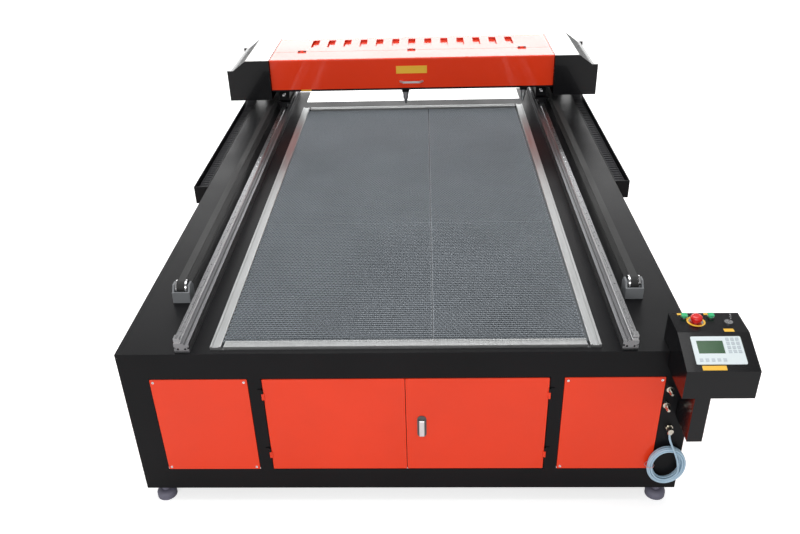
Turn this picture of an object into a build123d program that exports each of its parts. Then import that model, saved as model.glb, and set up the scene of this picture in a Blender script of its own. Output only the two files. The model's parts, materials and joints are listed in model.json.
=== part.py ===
"""Large-format carbon dioxide laser engraving machine with a travelling gantry.

The model's own frame has X across the machine from its middle, Y to the rear from the
front face and Z up from the floor. Heights over the table top are written TOP + h.
Every piece is set on the shared origin, at the middle of its footprint, when it is kept.
"""

import os
from math import cos, radians, sin

from build123d import *

os.makedirs("parts", exist_ok=True)

# Overall sizes
TABLE_W = 2050
TABLE_L = 2745
BODY_H = 646
FOOT_H = 70
TOP = FOOT_H + BODY_H
SHEET = 3
SKIN_H = BODY_H - SHEET
SKIN_Z = FOOT_H + SKIN_H / 2
HALF_W = TABLE_W / 2

# Welded frame
TUBE = 48
TUBE_WALL = 3
BEARER_H = 80
POST_Y = (SHEET + TUBE / 2, 935, 1827, TABLE_L - SHEET - TUBE / 2)
SIDE_TUBE_X = HALF_W - SHEET - TUBE / 2
BEARER_X = 784
BAY_POST_X = 541
ARM_END = 2957
BED_BEARER_Z = TOP - SHEET - BEARER_H

# Front face
PANEL_TOP = TOP - 110
PANEL_H = 437
PANEL_Z = PANEL_TOP - PANEL_H / 2
SIDE_PANEL_X = 744
SIDE_PANEL_W = 358
DOOR_BAY_W = 1034
DOOR_GAP = 3
DOOR_PAN = 18

# Bed
BED_W = 1300
BED_L = 2500
BED_BAR = 38
BED_RISE = 13
BED_FRONT = 26
BED_DROP = 6
CORE_H = 20
CELL = 12

# Guideways and belts
RAIL_X = 784
RAIL_W = 54
RAIL_H = 38
GUIDE_W = 22
GUIDE_X = RAIL_X + 14
GUIDE_H = 12
RAIL_START = 11
RAIL_END = 2950
BELT_X = 870
BELT_W = 30
BELT_T = 3
PULLEY_R = 23
FLANGE_R = 27
PULLEY_Z = TOP + 52
IDLER_Y = 375
DRIVE_Y = 2925
BRACKET_HALF_W = 34
AXLE_R = 6
RUNNING = 0.05
APART = 0.3

# Energy chain at each side
CHAIN_X = 1064
CHAIN_W = 54
LINK_PITCH = 30
LINK_H = 32
CHAIN_LOW = TOP - 42
CHAIN_R = 63
TROUGH_X = 1064
TROUGH_W = 72
TROUGH_DEEP = 92
TROUGH_START = 1433
CHAIN_END = 2775

# Gantry
GANTRY_FRONT = 2448
GANTRY_REAR = 2975
GANTRY_HALF = 1106
COVER_HALF = 851
BOX_LOW = TOP + 116
BOX_TOP = TOP + 356
BOX_SHOULDER = TOP + 299
CHAMFER_X = 993
PLATE_LIP = 22
PLATE_T = 4
LID_FRONT = 2468
LID_LOW = TOP + 171
LID_TOP = TOP + 352
HINGE_Y = 2650
BEAM_Y = 2640
BEAM_W = 80
BEAM_H = 120
BEAM_Z = TOP + 250
CARRIAGE_Y = (2500, 2890)
VENTS = 13
VENT_PITCH = 102
VENT_W = 45
VENT_Y = 2835
VENT_L = 170
TUBE_R = 40
TUBE_L = 1560
TUBE_Y = (2770, 2890)
TUBE_Z = TOP + 262

# Laser heads
HEAD_X = (-38, 683)
HEAD_BORE_Y = 2544
NOZZLE_TIP = TOP + 51
HEAD_RAIL_Z = BEAM_Z + 30

# Control console
CONSOLE_X = (916, 1153)
CONSOLE_Y = (-183, 75)
CONSOLE_LOW = TOP - 59
CONSOLE_NOSE = TOP + 51
CONSOLE_TOP = TOP + 107
SLOPE_END = -41
CONSOLE_WALL = 3
STOP_AT = (995, 22)
BUTTON_AT = ((963, 50), (1053, 50))
KEY_AT = (1102, 15)
SUPPORT_X = (975, 1027)
SUPPORT_Y = (-145, 0)
SUPPORT_LOW = TOP - 281

# Air hose
HOSE_R = 4
FITTING_AT = (961, -20, TOP - 340)
COIL_AT = (969, -18, TOP - 511)
COIL_HALF = (75, 91)
COIL_BAND = 28
COIL_DEEP = 24

# Origin of the shared frame: middle of the footprint, on the floor
MIDDLE_X = (CONSOLE_X[1] - GANTRY_HALF) / 2
MIDDLE_Y = (CONSOLE_Y[0] + GANTRY_REAR) / 2
TO_ORIGIN = Location((-MIDDLE_X, -MIDDLE_Y, 0))


def keep(shape, label):
    """Labels a finished piece, moves it to the shared origin and writes its file."""
    placed = shape.moved(TO_ORIGIN)
    placed.label = label
    export_step(placed, f"parts/{label}.step")


def keep_group(shapes, label):
    """Keeps several separate solids as one named piece."""
    keep(Compound(label=label, children=list(shapes)), label)


def along_x(x, y, z):
    """A plane facing +X, with its own x along Y and its own y along Z."""
    return Plane(origin=(x, y, z), x_dir=(0, 1, 0), z_dir=(1, 0, 0))


def along_y(x, y, z):
    """A plane facing the rear, with its own x along -X and its own y along Z."""
    return Plane(origin=(x, y, z), x_dir=(-1, 0, 0), z_dir=(0, 1, 0))


def facing_front(x, y, z):
    """A plane facing the front, with its own x along X and its own y along Z."""
    return Plane(origin=(x, y, z), x_dir=(1, 0, 0), z_dir=(0, -1, 0))


def level(x, y, z):
    """A plane facing up."""
    return Plane(origin=(x, y, z))


def hollow_tube(plane, length, width=TUBE, height=TUBE):
    """A hollow rectangular tube that runs from the plane along its normal."""
    with BuildPart() as tube:
        with BuildSketch(plane):
            Rectangle(width, height)
            Rectangle(width - 2 * TUBE_WALL, height - 2 * TUBE_WALL, mode=Mode.SUBTRACT)
        extrude(amount=length)
    return tube.part


def block(x, y, z):
    """A plain block between three pairs of limits."""
    with BuildPart() as piece:
        with BuildSketch(level((x[0] + x[1]) / 2, (y[0] + y[1]) / 2, z[0])):
            Rectangle(x[1] - x[0], y[1] - y[0])
        extrude(amount=z[1] - z[0])
    return piece.part


def both_sides(shape):
    """The shape and its mirror image on the other side of the machine."""
    return [shape, mirror(shape, about=Plane.YZ)]


# Frame of welded square tube
def build_base_frame():
    tubes = []
    low, high = FOOT_H, TOP - SHEET
    half_tube = TUBE / 2
    for y in POST_Y:
        for side in (-1, 1):
            tubes.append(hollow_tube(level(side * SIDE_TUBE_X, y, low), high - low))
    for y in (POST_Y[0], POST_Y[-1]):
        for side in (-1, 1):
            x = side * BAY_POST_X
            tubes.append(hollow_tube(level(x, y, low + TUBE), high - low - TUBE - BEARER_H))
    for front, rear in zip(POST_Y, POST_Y[1:]):
        run = rear - front - TUBE
        for side in (-1, 1):
            x = side * SIDE_TUBE_X
            for z in (low + half_tube, high - half_tube):
                tubes.append(hollow_tube(along_y(x, front + half_tube, z), run))
    # The bearers run the whole length and carry the guideways
    for side in (-1, 1):
        x = side * BEARER_X
        z = high - BEARER_H / 2
        start = SHEET
        tubes.append(hollow_tube(along_y(x, start, z), ARM_END - start, TUBE, BEARER_H))
        arm = POST_Y[-1] + half_tube
        tubes.append(hollow_tube(along_y(side * SIDE_TUBE_X, arm, high - half_tube), ARM_END - arm))
    gap = SIDE_TUBE_X - BEARER_X - TUBE
    for y in POST_Y:
        span = 2 * SIDE_TUBE_X - TUBE
        tubes.append(hollow_tube(along_x(-span / 2, y, low + half_tube), span))
        inner = 2 * BEARER_X - TUBE
        tubes.append(hollow_tube(along_x(-inner / 2, y, BED_BEARER_Z + half_tube), inner))
        for start in (-SIDE_TUBE_X + half_tube, BEARER_X + half_tube):
            tubes.append(hollow_tube(along_x(start, y, high - half_tube), gap))
    keep_group(tubes, "base_frame")


def build_feet():
    """Rubber levelling feet on threaded stems, one under each post of the front,
    the middle and the rear."""
    with BuildPart() as foot:
        with BuildSketch(Plane.XZ):
            with BuildLine():
                Polyline((0, 0), (38, 0), (38, 18))
                ThreePointArc((38, 18), (32, 30), (16, 34))
                Polyline((16, 34), (16, 46), (8, 46), (8, FOOT_H), (0, FOOT_H), (0, 0))
            make_face()
        revolve(axis=Axis.Z)
    feet = []
    for y in (POST_Y[0] + 12, POST_Y[1], POST_Y[-1]):
        for side in (-1, 1):
            feet.append(foot.part.moved(Location((side * (SIDE_TUBE_X - 30), y, 0))))
    keep_group(feet, "levelling_feet")


# Outer sheets of the body
def build_front_fascia():
    with BuildPart() as fascia:
        with BuildSketch(facing_front(0, SHEET, SKIN_Z)):
            Rectangle(TABLE_W, SKIN_H)
            middle = PANEL_Z - SKIN_Z
            with Locations((0, middle)):
                Rectangle(DOOR_BAY_W, PANEL_H, mode=Mode.SUBTRACT)
            with Locations((-SIDE_PANEL_X, middle), (SIDE_PANEL_X, middle)):
                Rectangle(SIDE_PANEL_W, PANEL_H, mode=Mode.SUBTRACT)
        extrude(amount=SHEET)
    keep(fascia.part, "front_fascia")


def panel_pan(width, height, depth=DOOR_PAN):
    """A folded sheet panel, with its outer face at the front."""
    with BuildPart() as pan:
        with BuildSketch(facing_front(0, depth - 1, 0)):
            RectangleRounded(width, height, 4)
        extrude(amount=depth)
        inner = pan.faces().sort_by(Axis.Y)[-1]
        offset(amount=-1.5, openings=inner)
        outer = pan.faces().sort_by(Axis.Y)[0].edges()
        fillet(outer, 1)
    return pan.part


def build_front_panels():
    pan = panel_pan(SIDE_PANEL_W - 4, PANEL_H - 4, 12)
    places = [Location((side * SIDE_PANEL_X, 0, PANEL_Z)) for side in (-1, 1)]
    keep_group([pan.moved(place) for place in places], "front_panels")


SIDE_BAYS = tuple(
    ((front + rear) / 2, rear - front - 3 * TUBE) for front, rear in zip(POST_Y, POST_Y[1:])
)


def build_body_skins():
    """Side sheets with a window to each bay, and the rear sheet with its two duct holes."""
    with BuildPart() as side:
        middle_y = (SHEET + TABLE_L) / 2
        with BuildSketch(along_x(HALF_W - SHEET, middle_y, SKIN_Z)):
            Rectangle(TABLE_L - SHEET, SKIN_H)
            for bay_y, bay_w in SIDE_BAYS:
                with Locations((bay_y - middle_y, PANEL_Z - SKIN_Z)):
                    Rectangle(bay_w, PANEL_H, mode=Mode.SUBTRACT)
        extrude(amount=SHEET)
    near, edge = DUCT_X + DUCT_CELL, HALF_W - SHEET
    with BuildPart() as outer:
        with BuildSketch(along_y(0, TABLE_L - SHEET, SKIN_Z)):
            with Locations(((near + edge) / 2, 0)):
                Rectangle(edge - near, SKIN_H)
            # Notches for the tubes that run on as arms
            with Locations((BEARER_X, (SKIN_H - BEARER_H) / 2)):
                Rectangle(TUBE + 1, BEARER_H + 1, mode=Mode.SUBTRACT)
            with Locations((SIDE_TUBE_X, (SKIN_H - TUBE) / 2)):
                Rectangle(TUBE + 1, TUBE + 1, mode=Mode.SUBTRACT)
        extrude(amount=SHEET)
    height = (SKIN_Z - SKIN_H / 2, SKIN_Z + SKIN_H / 2)
    rear = sheet_round_ducts((TABLE_L - SHEET, TABLE_L), height, DUCT_R)
    keep_group([*both_sides(side.part), *both_sides(outer.part), *rear], "body_skins")


def build_side_panels():
    """Removable panels in the bays of both sides, with a louvred middle one."""
    pans = []
    for index, (bay_y, bay_w) in enumerate(SIDE_BAYS):
        with BuildPart() as pan:
            with BuildSketch(along_x(HALF_W - 11, bay_y, PANEL_Z)):
                RectangleRounded(bay_w - 4, PANEL_H - 4, 4)
            extrude(amount=12)
            offset(amount=-1.5, openings=pan.faces().sort_by(Axis.X)[0])
            if index == 1:
                with BuildSketch(along_x(HALF_W - 2, bay_y, PANEL_Z)):
                    with GridLocations(0, 26, 1, 8):
                        SlotOverall(260, 10)
                extrude(amount=4, mode=Mode.SUBTRACT)
        pans += both_sides(pan.part)
    keep_group(pans, "side_panels")


# Suction tray under the bed and its two duct collars
DUCT_X = 420
DUCT_R = 75
DUCT_Z = TOP - 200
DUCT_CELL = DUCT_R + 25
COLLAR_WALL = 2
COLLAR_STEP = 1
COLLAR_BEAD = 6
TRAY_HALF = 690
TRAY_TOP = BED_BEARER_Z - 1
TRAY_SHEET = 2


def sheet_round_ducts(span, height, hole):
    """The middle of an upright sheet with both duct holes, as flat strips and, round each
    hole, four mitred pieces. span is its Y, height its Z."""
    y, thick = span[0], span[1] - span[0]
    with BuildPart() as mitred:
        with BuildSketch(along_y(DUCT_X, y, DUCT_Z)):
            Rectangle(2 * DUCT_CELL, 2 * DUCT_CELL)
            Circle(hole, mode=Mode.SUBTRACT)
            for turn in (45, -45):
                Rectangle(APART, 3 * DUCT_CELL, rotation=turn, mode=Mode.SUBTRACT)
        extrude(amount=thick)
    near, far = DUCT_X - DUCT_CELL, DUCT_X + DUCT_CELL
    sheets = [block((-near, near), span, height)]
    sheets += both_sides(block((near, far), span, (DUCT_Z + DUCT_CELL, height[1])))
    sheets += both_sides(block((near, far), span, (height[0], DUCT_Z - DUCT_CELL)))
    for piece in mitred.part.solids():
        sheets += both_sides(piece)
    return sheets


def build_suction_tray():
    """The hopper under the bed, of flat sheets: two sides, a sloping and a flat floor, the
    front and the rear wall that the ducts leave through."""
    front, rear = POST_Y[0] + TUBE / 2 + 4, POST_Y[-1] - TUBE / 2 - 1
    turn, low, lip = rear - 300, DUCT_Z - 110, TRAY_TOP - 45
    inside = TRAY_HALF - TRAY_SHEET
    with BuildPart() as side:
        with BuildSketch(along_x(inside, 0, 0)):
            Polygon((front, TRAY_TOP), (rear, TRAY_TOP), (rear, low), (turn, low), (front, lip), align=None)
        extrude(amount=TRAY_SHEET)
    with BuildPart() as slope:
        with BuildSketch(along_x(-inside, 0, 0)):
            Polygon((front, lip), (turn, low), (turn, low + TRAY_SHEET), (front, lip + TRAY_SHEET), align=None)
        extrude(amount=2 * inside)
    wall = (rear - TRAY_SHEET, rear)
    sheets = [*both_sides(side.part), slope.part]
    sheets.append(block((-inside, inside), (turn, wall[0]), (low, low + TRAY_SHEET)))
    sheets.append(block((-inside, inside), (front, front + TRAY_SHEET), (lip + TRAY_SHEET, TRAY_TOP)))
    sheets += both_sides(block((DUCT_X + DUCT_CELL, inside), wall, (low, TRAY_TOP)))
    sheets += sheet_round_ducts(wall, (low, TRAY_TOP), DUCT_R - COLLAR_WALL)
    keep_group(sheets, "suction_tray")


def build_exhaust_collars():
    """Spun collars that lead from the tray through the rear sheet. A rolled bead behind the
    sheet stops the extraction duct, which is clamped on the thinner free end."""
    start, stop, end = POST_Y[-1] - TUBE / 2 - 1, TABLE_L + 1, TABLE_L + 60
    inner, outer = DUCT_R - COLLAR_WALL - APART, DUCT_R - APART
    free, lead = outer - COLLAR_STEP, 0.6
    with BuildPart() as collar:
        with BuildSketch(Plane(origin=(DUCT_X, 0, DUCT_Z), x_dir=(1, 0, 0), z_dir=(0, 0, 1))):
            with BuildLine():
                Polyline(
                    (inner, start), (inner, end), (free - lead, end), (free, end - lead),
                    (free, stop + COLLAR_BEAD),
                )
                ThreePointArc((free, stop + COLLAR_BEAD), (outer + 3, stop + COLLAR_BEAD / 2), (outer, stop))
                Polyline((outer, stop), (outer, start), (inner, start))
            make_face()
        revolve(axis=Axis((DUCT_X, 0, DUCT_Z), (0, 1, 0)))
    keep_group(both_sides(collar.part), "exhaust_collars")


# Table top and bed
def build_table_deck():
    inner = BED_W / 2 + BED_BAR
    bed_end = BED_FRONT + BED_L + 2 * BED_BAR
    plates = both_sides(block((inner, HALF_W), (0, ARM_END + 3), (TOP - SHEET, TOP)))
    plates.append(block((-inner, inner), (0, BED_FRONT), (TOP - SHEET, TOP)))
    plates.append(block((-inner, inner), (bed_end, TABLE_L), (TOP - SHEET, TOP)))
    keep_group(plates, "table_deck")


CORE_SEAM_X = 105


def bed_bar(plane, length):
    """An aluminium bar with a ledge on its inner side, where the core rests."""
    height = BED_RISE + TOP - BED_BEARER_Z - TUBE
    ledge = height - BED_DROP - CORE_H
    with BuildPart() as bar:
        with BuildSketch(plane):
            with BuildLine():
                Polyline(
                    (0, 0),
                    (BED_BAR + 10, 0),
                    (BED_BAR + 10, ledge),
                    (BED_BAR, ledge),
                    (BED_BAR, height - 2),
                    (BED_BAR - 2, height),
                    (BED_BAR - 8, height),
                    (BED_BAR - 8, height - 3),
                    (8, height - 3),
                    (8, height),
                    (0, height),
                    (0, 0),
                )
            make_face()
        extrude(amount=length)
    return bar.part


def build_bed_frame():
    low = BED_BEARER_Z + TUBE
    outer = BED_W / 2 + BED_BAR
    length = BED_L + 2 * BED_BAR
    side_plane = Plane(origin=(-outer, BED_FRONT + length, low), x_dir=(1, 0, 0), z_dir=(0, -1, 0))
    side = bed_bar(side_plane, length)
    half = BED_W / 2 - 10
    front = bed_bar(Plane(origin=(-half, BED_FRONT, low), x_dir=(0, 1, 0), z_dir=(1, 0, 0)), 2 * half)
    middle = BED_FRONT + length / 2
    rear = mirror(front, about=Plane.XZ.offset(-middle))
    keep_group([*both_sides(side), front, rear], "bed_frame")


def build_honeycomb():
    """The core as a plate with a rib over each row of cells, in two joined modules."""
    z = TOP + BED_RISE - BED_DROP - CORE_H
    start = BED_FRONT + BED_BAR
    half = BED_W / 2
    rows = int(BED_W / CELL)
    with BuildPart() as core:
        with BuildSketch(level(0, start + BED_L / 2, z)):
            Rectangle(BED_W - 2 * APART, BED_L - 2 * APART)
        extrude(amount=CORE_H - 5)
        with BuildSketch(level(0, start + BED_L / 2, z + CORE_H - 5)):
            with GridLocations(CELL, 0, rows, 1):
                Rectangle(4, BED_L - 2 * APART)
            with Locations((CORE_SEAM_X, 0)):
                Rectangle(3, BED_L - 2 * APART)
        extrude(amount=5)
    keep(core.part, "honeycomb_core")


def build_bed_slats():
    """Flat tubes that carry the core, laid along the bed on the cross tubes."""
    low = BED_BEARER_Z + TUBE
    high = TOP + BED_RISE - BED_DROP - CORE_H
    start, run = BED_FRONT + BED_BAR + 12, BED_L - 24
    slats = []
    for index in range(-2, 3):
        plane = along_y(index * 240, start, (low + high) / 2)
        slats.append(hollow_tube(plane, run, 30, high - low))
    keep_group(slats, "bed_slats")


# Guideways
def build_rail_beams():
    """Extruded beams with a slot in each side and in the top."""
    with BuildPart() as beam:
        with BuildSketch(along_y(RAIL_X, RAIL_START, TOP + RAIL_H / 2)):
            Rectangle(RAIL_W, RAIL_H)
            with Locations((RAIL_W / 2, 0), (-RAIL_W / 2, 0)):
                Rectangle(14, 8, mode=Mode.SUBTRACT)
            with Locations((14, RAIL_H / 2)):
                Rectangle(8, 12, mode=Mode.SUBTRACT)
            with Locations((13, -4), (-13, -4)):
                Circle(4, mode=Mode.SUBTRACT)
        extrude(amount=RAIL_END - RAIL_START)
    keep_group(both_sides(beam.part), "rail_beams")


def build_linear_guides():
    """Ground guide rails with waisted sides and bolt holes along their middle."""
    holes = 48
    with BuildPart() as guide:
        with BuildSketch(along_y(GUIDE_X, RAIL_START, TOP + RAIL_H)):
            with BuildLine():
                half = GUIDE_W / 2
                Polyline(
                    (-half, 0), (half, 0), (half, 4), (half - 2, 6), (half - 2, 8), (half, 10),
                    (half, GUIDE_H), (-half, GUIDE_H), (-half, 10), (-half + 2, 8),
                    (-half + 2, 6), (-half, 4), (-half, 0),
                )
            make_face()
        extrude(amount=RAIL_END - RAIL_START)
        with BuildSketch(level(GUIDE_X, (RAIL_START + RAIL_END) / 2, TOP + RAIL_H + GUIDE_H - 3)):
            with GridLocations(0, 60, 1, holes):
                RegularPolygon(5, 6)
        extrude(amount=5, mode=Mode.SUBTRACT)
    stops = []
    for y in (RAIL_START + 14, RAIL_END - 14):
        low = TOP + RAIL_H + GUIDE_H
        x = (GUIDE_X - GUIDE_W / 2, GUIDE_X + GUIDE_W / 2)
        stops += both_sides(block(x, (y - 12, y + 12), (low, low + 9)))
    keep_group([*both_sides(guide.part), *stops], "linear_guides")


# Belt drive of the gantry
def build_belts():
    """Flat loops round the front and rear pulleys."""
    radius = PULLEY_R
    with BuildPart() as belt:
        with BuildSketch(along_x(BELT_X - BELT_W / 2, (IDLER_Y + DRIVE_Y) / 2, PULLEY_Z)):
            run = DRIVE_Y - IDLER_Y
            SlotCenterToCenter(run, 2 * (radius + BELT_T))
            SlotCenterToCenter(run, 2 * (radius + RUNNING), mode=Mode.SUBTRACT)
        extrude(amount=BELT_W)
    keep_group(both_sides(belt.part), "drive_belts")


def pulley(y):
    """A flanged pulley with a bore for its axle."""
    half = BELT_W / 2 + 1
    with BuildPart() as wheel:
        with BuildSketch(Plane(origin=(0, y, PULLEY_Z), x_dir=(1, 0, 0), z_dir=(0, 0, 1))):
            with BuildLine():
                Polyline(
                    (BELT_X - half - 6, AXLE_R + RUNNING),
                    (BELT_X + half + 6, AXLE_R + RUNNING),
                    (BELT_X + half + 6, FLANGE_R),
                    (BELT_X + half, FLANGE_R + 1),
                    (BELT_X + half, PULLEY_R),
                    (BELT_X - half, PULLEY_R),
                    (BELT_X - half, FLANGE_R + 1),
                    (BELT_X - half - 6, FLANGE_R),
                    (BELT_X - half - 6, AXLE_R + RUNNING),
                )
            make_face()
        revolve(axis=Axis((0, y, PULLEY_Z), (1, 0, 0)))
    return wheel.part


def axle_bracket(y, back):
    """A bracket with two cheeks and the axle across them. The wall that closes it stands on
    the side that back gives."""
    out = BRACKET_HALF_W
    reach = 30
    with BuildPart() as bracket:
        for start in (BELT_X - out, BELT_X + out - 7):
            with BuildSketch(along_x(start, y, TOP)):
                with BuildLine():
                    Polyline(
                        (-reach, 0), (reach, 0), (reach, 46), (14, 68), (-14, 68), (-reach, 46),
                        (-reach, 0),
                    )
                make_face()
            extrude(amount=7)
        with BuildSketch(level(BELT_X, y + back * (reach + 4), TOP)):
            Rectangle(2 * out, 8)
        extrude(amount=46)
        with BuildSketch(along_x(BELT_X - out, y, PULLEY_Z)):
            Circle(AXLE_R)
        extrude(amount=2 * out)
    return bracket.part


def build_belt_brackets():
    front = axle_bracket(IDLER_Y, -1)
    rear = axle_bracket(DRIVE_Y, 1)
    keep_group([*both_sides(front), *both_sides(rear)], "belt_brackets")


def build_pulleys():
    keep_group(both_sides(pulley(IDLER_Y)), "idler_pulleys")
    keep_group(both_sides(pulley(DRIVE_Y)), "drive_pulleys")


def build_drive_motors():
    """Finned stepper motors beside the rear pulleys, each on its angle plate."""
    start = BELT_X + BRACKET_HALF_W
    with BuildPart() as motor:
        with BuildSketch(along_x(start, DRIVE_Y - 6, PULLEY_Z + 4)):
            RectangleRounded(70, 70, 6)
        extrude(amount=10)
        with BuildSketch(along_x(start + 10, DRIVE_Y - 6, PULLEY_Z + 4)):
            RectangleRounded(66, 66, 10)
        extrude(amount=60)
        with BuildSketch(along_x(start + 70, DRIVE_Y - 6, PULLEY_Z + 4)):
            RectangleRounded(70, 70, 6)
        extrude(amount=8)
        with BuildSketch(level(start + 20, DRIVE_Y - 6, TOP)):
            Rectangle(40, 60)
        extrude(amount=PULLEY_Z + 4 - 33 - TOP)
    keep_group(both_sides(motor.part), "drive_motors")


# Energy chains
def chain_link(length):
    """One link, seen from the side: waisted plates with rounded ends and a cover across."""
    with BuildPart() as link:
        with BuildSketch(along_x(-CHAIN_W / 2, 0, 0)):
            Rectangle(length - 4, LINK_H)
        extrude(amount=CHAIN_W)
        with BuildSketch(along_x(-CHAIN_W / 2 + 5, 0, 0)):
            Rectangle(length + 0.6, LINK_H - 8)
        extrude(amount=CHAIN_W - 10)
    return link.part


def build_lower_runs():
    """The straight part of each chain, which lies in its trough."""
    count = int((CHAIN_END - TROUGH_START - 20) / LINK_PITCH)
    link = chain_link(LINK_PITCH)
    with BuildPart() as run:
        for index in range(count):
            add(link.moved(Location((CHAIN_X, CHAIN_END - (index + 0.5) * LINK_PITCH, CHAIN_LOW))))
    keep_group(both_sides(run.part), "chain_lower_runs")


def build_chain_bends():
    """The half turn of each chain, as links laid round the bend."""
    links = 7
    step = 180 / links
    link = chain_link(2 * CHAIN_R * sin(radians(step / 2)))
    with BuildPart() as bend:
        for index in range(links):
            angle = radians(-90 + (index + 0.5) * step)
            y = CHAIN_END + 4 + CHAIN_R * cos(angle)
            z = CHAIN_LOW + 1 + CHAIN_R + CHAIN_R * sin(angle)
            add(link.moved(Location((CHAIN_X, y, z), ((index + 0.5) * step, 0, 0))))
    keep_group(both_sides(bend.part), "chain_bends")


def build_upper_runs():
    """The moving end of each chain, clamped under the gantry's end box."""
    z = CHAIN_LOW + 2 * CHAIN_R
    count = 2
    link = chain_link(LINK_PITCH)
    with BuildPart() as run:
        for index in range(count):
            add(link.moved(Location((CHAIN_X, CHAIN_END - 0.8 - (index + 0.5) * LINK_PITCH, z))))
        with BuildSketch(level(CHAIN_X, CHAIN_END - 40, z + LINK_H / 2 - 2)):
            Rectangle(CHAIN_W - 12, 30)
        extrude(amount=BOX_LOW - z - LINK_H / 2 + 2)
    keep_group(both_sides(run.part), "chain_upper_runs")


def build_troughs():
    """Trays outside the body, where the chains lie, of flat sheets: the floor, two walls and a
    closed front end, with saddles under the chain."""
    low, run = TOP - TROUGH_DEEP, (TROUGH_START, ARM_END)
    inner, outer = TROUGH_X - TROUGH_W / 2, TROUGH_X + TROUGH_W / 2
    across, height = (inner + SHEET, outer - SHEET), (low + SHEET, TOP)
    sheets = [block((inner, outer), run, (low, low + SHEET))]
    sheets += [block((edge, edge + SHEET), run, height) for edge in (inner, outer - SHEET)]
    sheets.append(block(across, (TROUGH_START, TROUGH_START + SHEET), height))
    for index in range(4):
        y = (TROUGH_START + CHAIN_END) / 2 + (index - 1.5) * 300
        sheets.append(block(across, (y - 10, y + 10), (low + SHEET, CHAIN_LOW - LINK_H / 2 - APART)))
    keep_group([piece for sheet in sheets for piece in both_sides(sheet)], "chain_troughs")


# Gantry
def build_gantry_frame():
    """The cross beam, the front rail that the lid closes on and the rear rail."""
    reach = CHAMFER_X + 47
    with BuildPart() as beam:
        with BuildSketch(along_x(-reach, BEAM_Y, BEAM_Z)):
            RectangleRounded(BEAM_W, BEAM_H, 6)
            Rectangle(BEAM_W - 8, BEAM_H - 8, mode=Mode.SUBTRACT)
        extrude(amount=2 * reach)
        with BuildSketch(facing_front(0, BEAM_Y - BEAM_W / 2, HEAD_RAIL_Z)):
            Rectangle(2 * COVER_HALF - 40, 23)
        extrude(amount=12)
    front = block((-COVER_HALF, COVER_HALF), (2474, 2500), (LID_LOW - 13, LID_LOW - 1))
    shelf = block((-COVER_HALF, COVER_HALF), (BEAM_Y + BEAM_W / 2, GANTRY_REAR - 4), (TOP + 178, TOP + 184))
    keep_group([beam.part, front, shelf], "gantry_frame")


def build_carriages():
    """On each side, two guide blocks, the plate over them, the leg up to the beam and the
    clamp that grips the belt's upper run."""
    front, rear = CARRIAGE_Y
    guide_top = TOP + RAIL_H + GUIDE_H
    plate_low = guide_top + 24
    low = TOP + RAIL_H + 1.5
    with BuildPart() as carriage:
        for y in (front + 45, rear - 60):
            with BuildSketch(along_y(GUIDE_X, y - 35, 0)):
                with Locations((0, (low + plate_low) / 2)):
                    Rectangle(GUIDE_W + 26, plate_low - low)
                with Locations((0, (low + guide_top + APART) / 2)):
                    Rectangle(GUIDE_W + 2 * APART, guide_top + APART - low, mode=Mode.SUBTRACT)
            extrude(amount=70)
        with BuildSketch(level(GUIDE_X - 6, (front + rear) / 2, plate_low)):
            Rectangle(84, rear - front)
        extrude(amount=10)
        # Leg with a raking front edge
        with BuildSketch(along_x(GUIDE_X - 36, 0, 0)):
            with BuildLine():
                Polyline(
                    (front + 40, plate_low + 10),
                    (rear - 60, plate_low + 10),
                    (rear - 110, TOP + 178),
                    (BEAM_Y + BEAM_W / 2, TOP + 178),
                    (BEAM_Y + BEAM_W / 2, BEAM_Z - BEAM_H / 2),
                    (BEAM_Y - BEAM_W / 2, BEAM_Z - BEAM_H / 2),
                    (front + 40, plate_low + 10),
                )
            make_face()
        extrude(amount=60)
        # Two jaws joined beside the belt
        belt_top = PULLEY_Z + PULLEY_R + BELT_T
        belt_low = PULLEY_Z + PULLEY_R + RUNNING
        outer = BELT_X + BELT_W / 2 + 1
        with BuildSketch(along_y(0, rear - 36, 0)):
            with Locations((-(GUIDE_X + 30 + outer + 8) / 2, belt_top + 1 + 6)):
                Rectangle(outer + 8 - GUIDE_X - 30, 12)
            with Locations((-outer - 4.5, belt_low - 1 + 4)):
                Rectangle(7, 24)
            with Locations((-(BELT_X + 4), belt_low - 1 - 4)):
                Rectangle(BELT_W + 8, 8)
        extrude(amount=28)
    keep_group(both_sides(carriage.part), "gantry_carriages")


def plate_outline(outer):
    """The outline of an end box, seen from the front, out to the given half width."""
    shoulder = GANTRY_HALF - 36
    points = [(COVER_HALF, BOX_LOW), (outer, BOX_LOW), (outer, BOX_SHOULDER)]
    if outer > shoulder:
        points.append((shoulder, BOX_SHOULDER))
    return [*points, (CHAMFER_X, BOX_TOP), (COVER_HALF, BOX_TOP), (COVER_HALF, BOX_LOW)]


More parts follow.
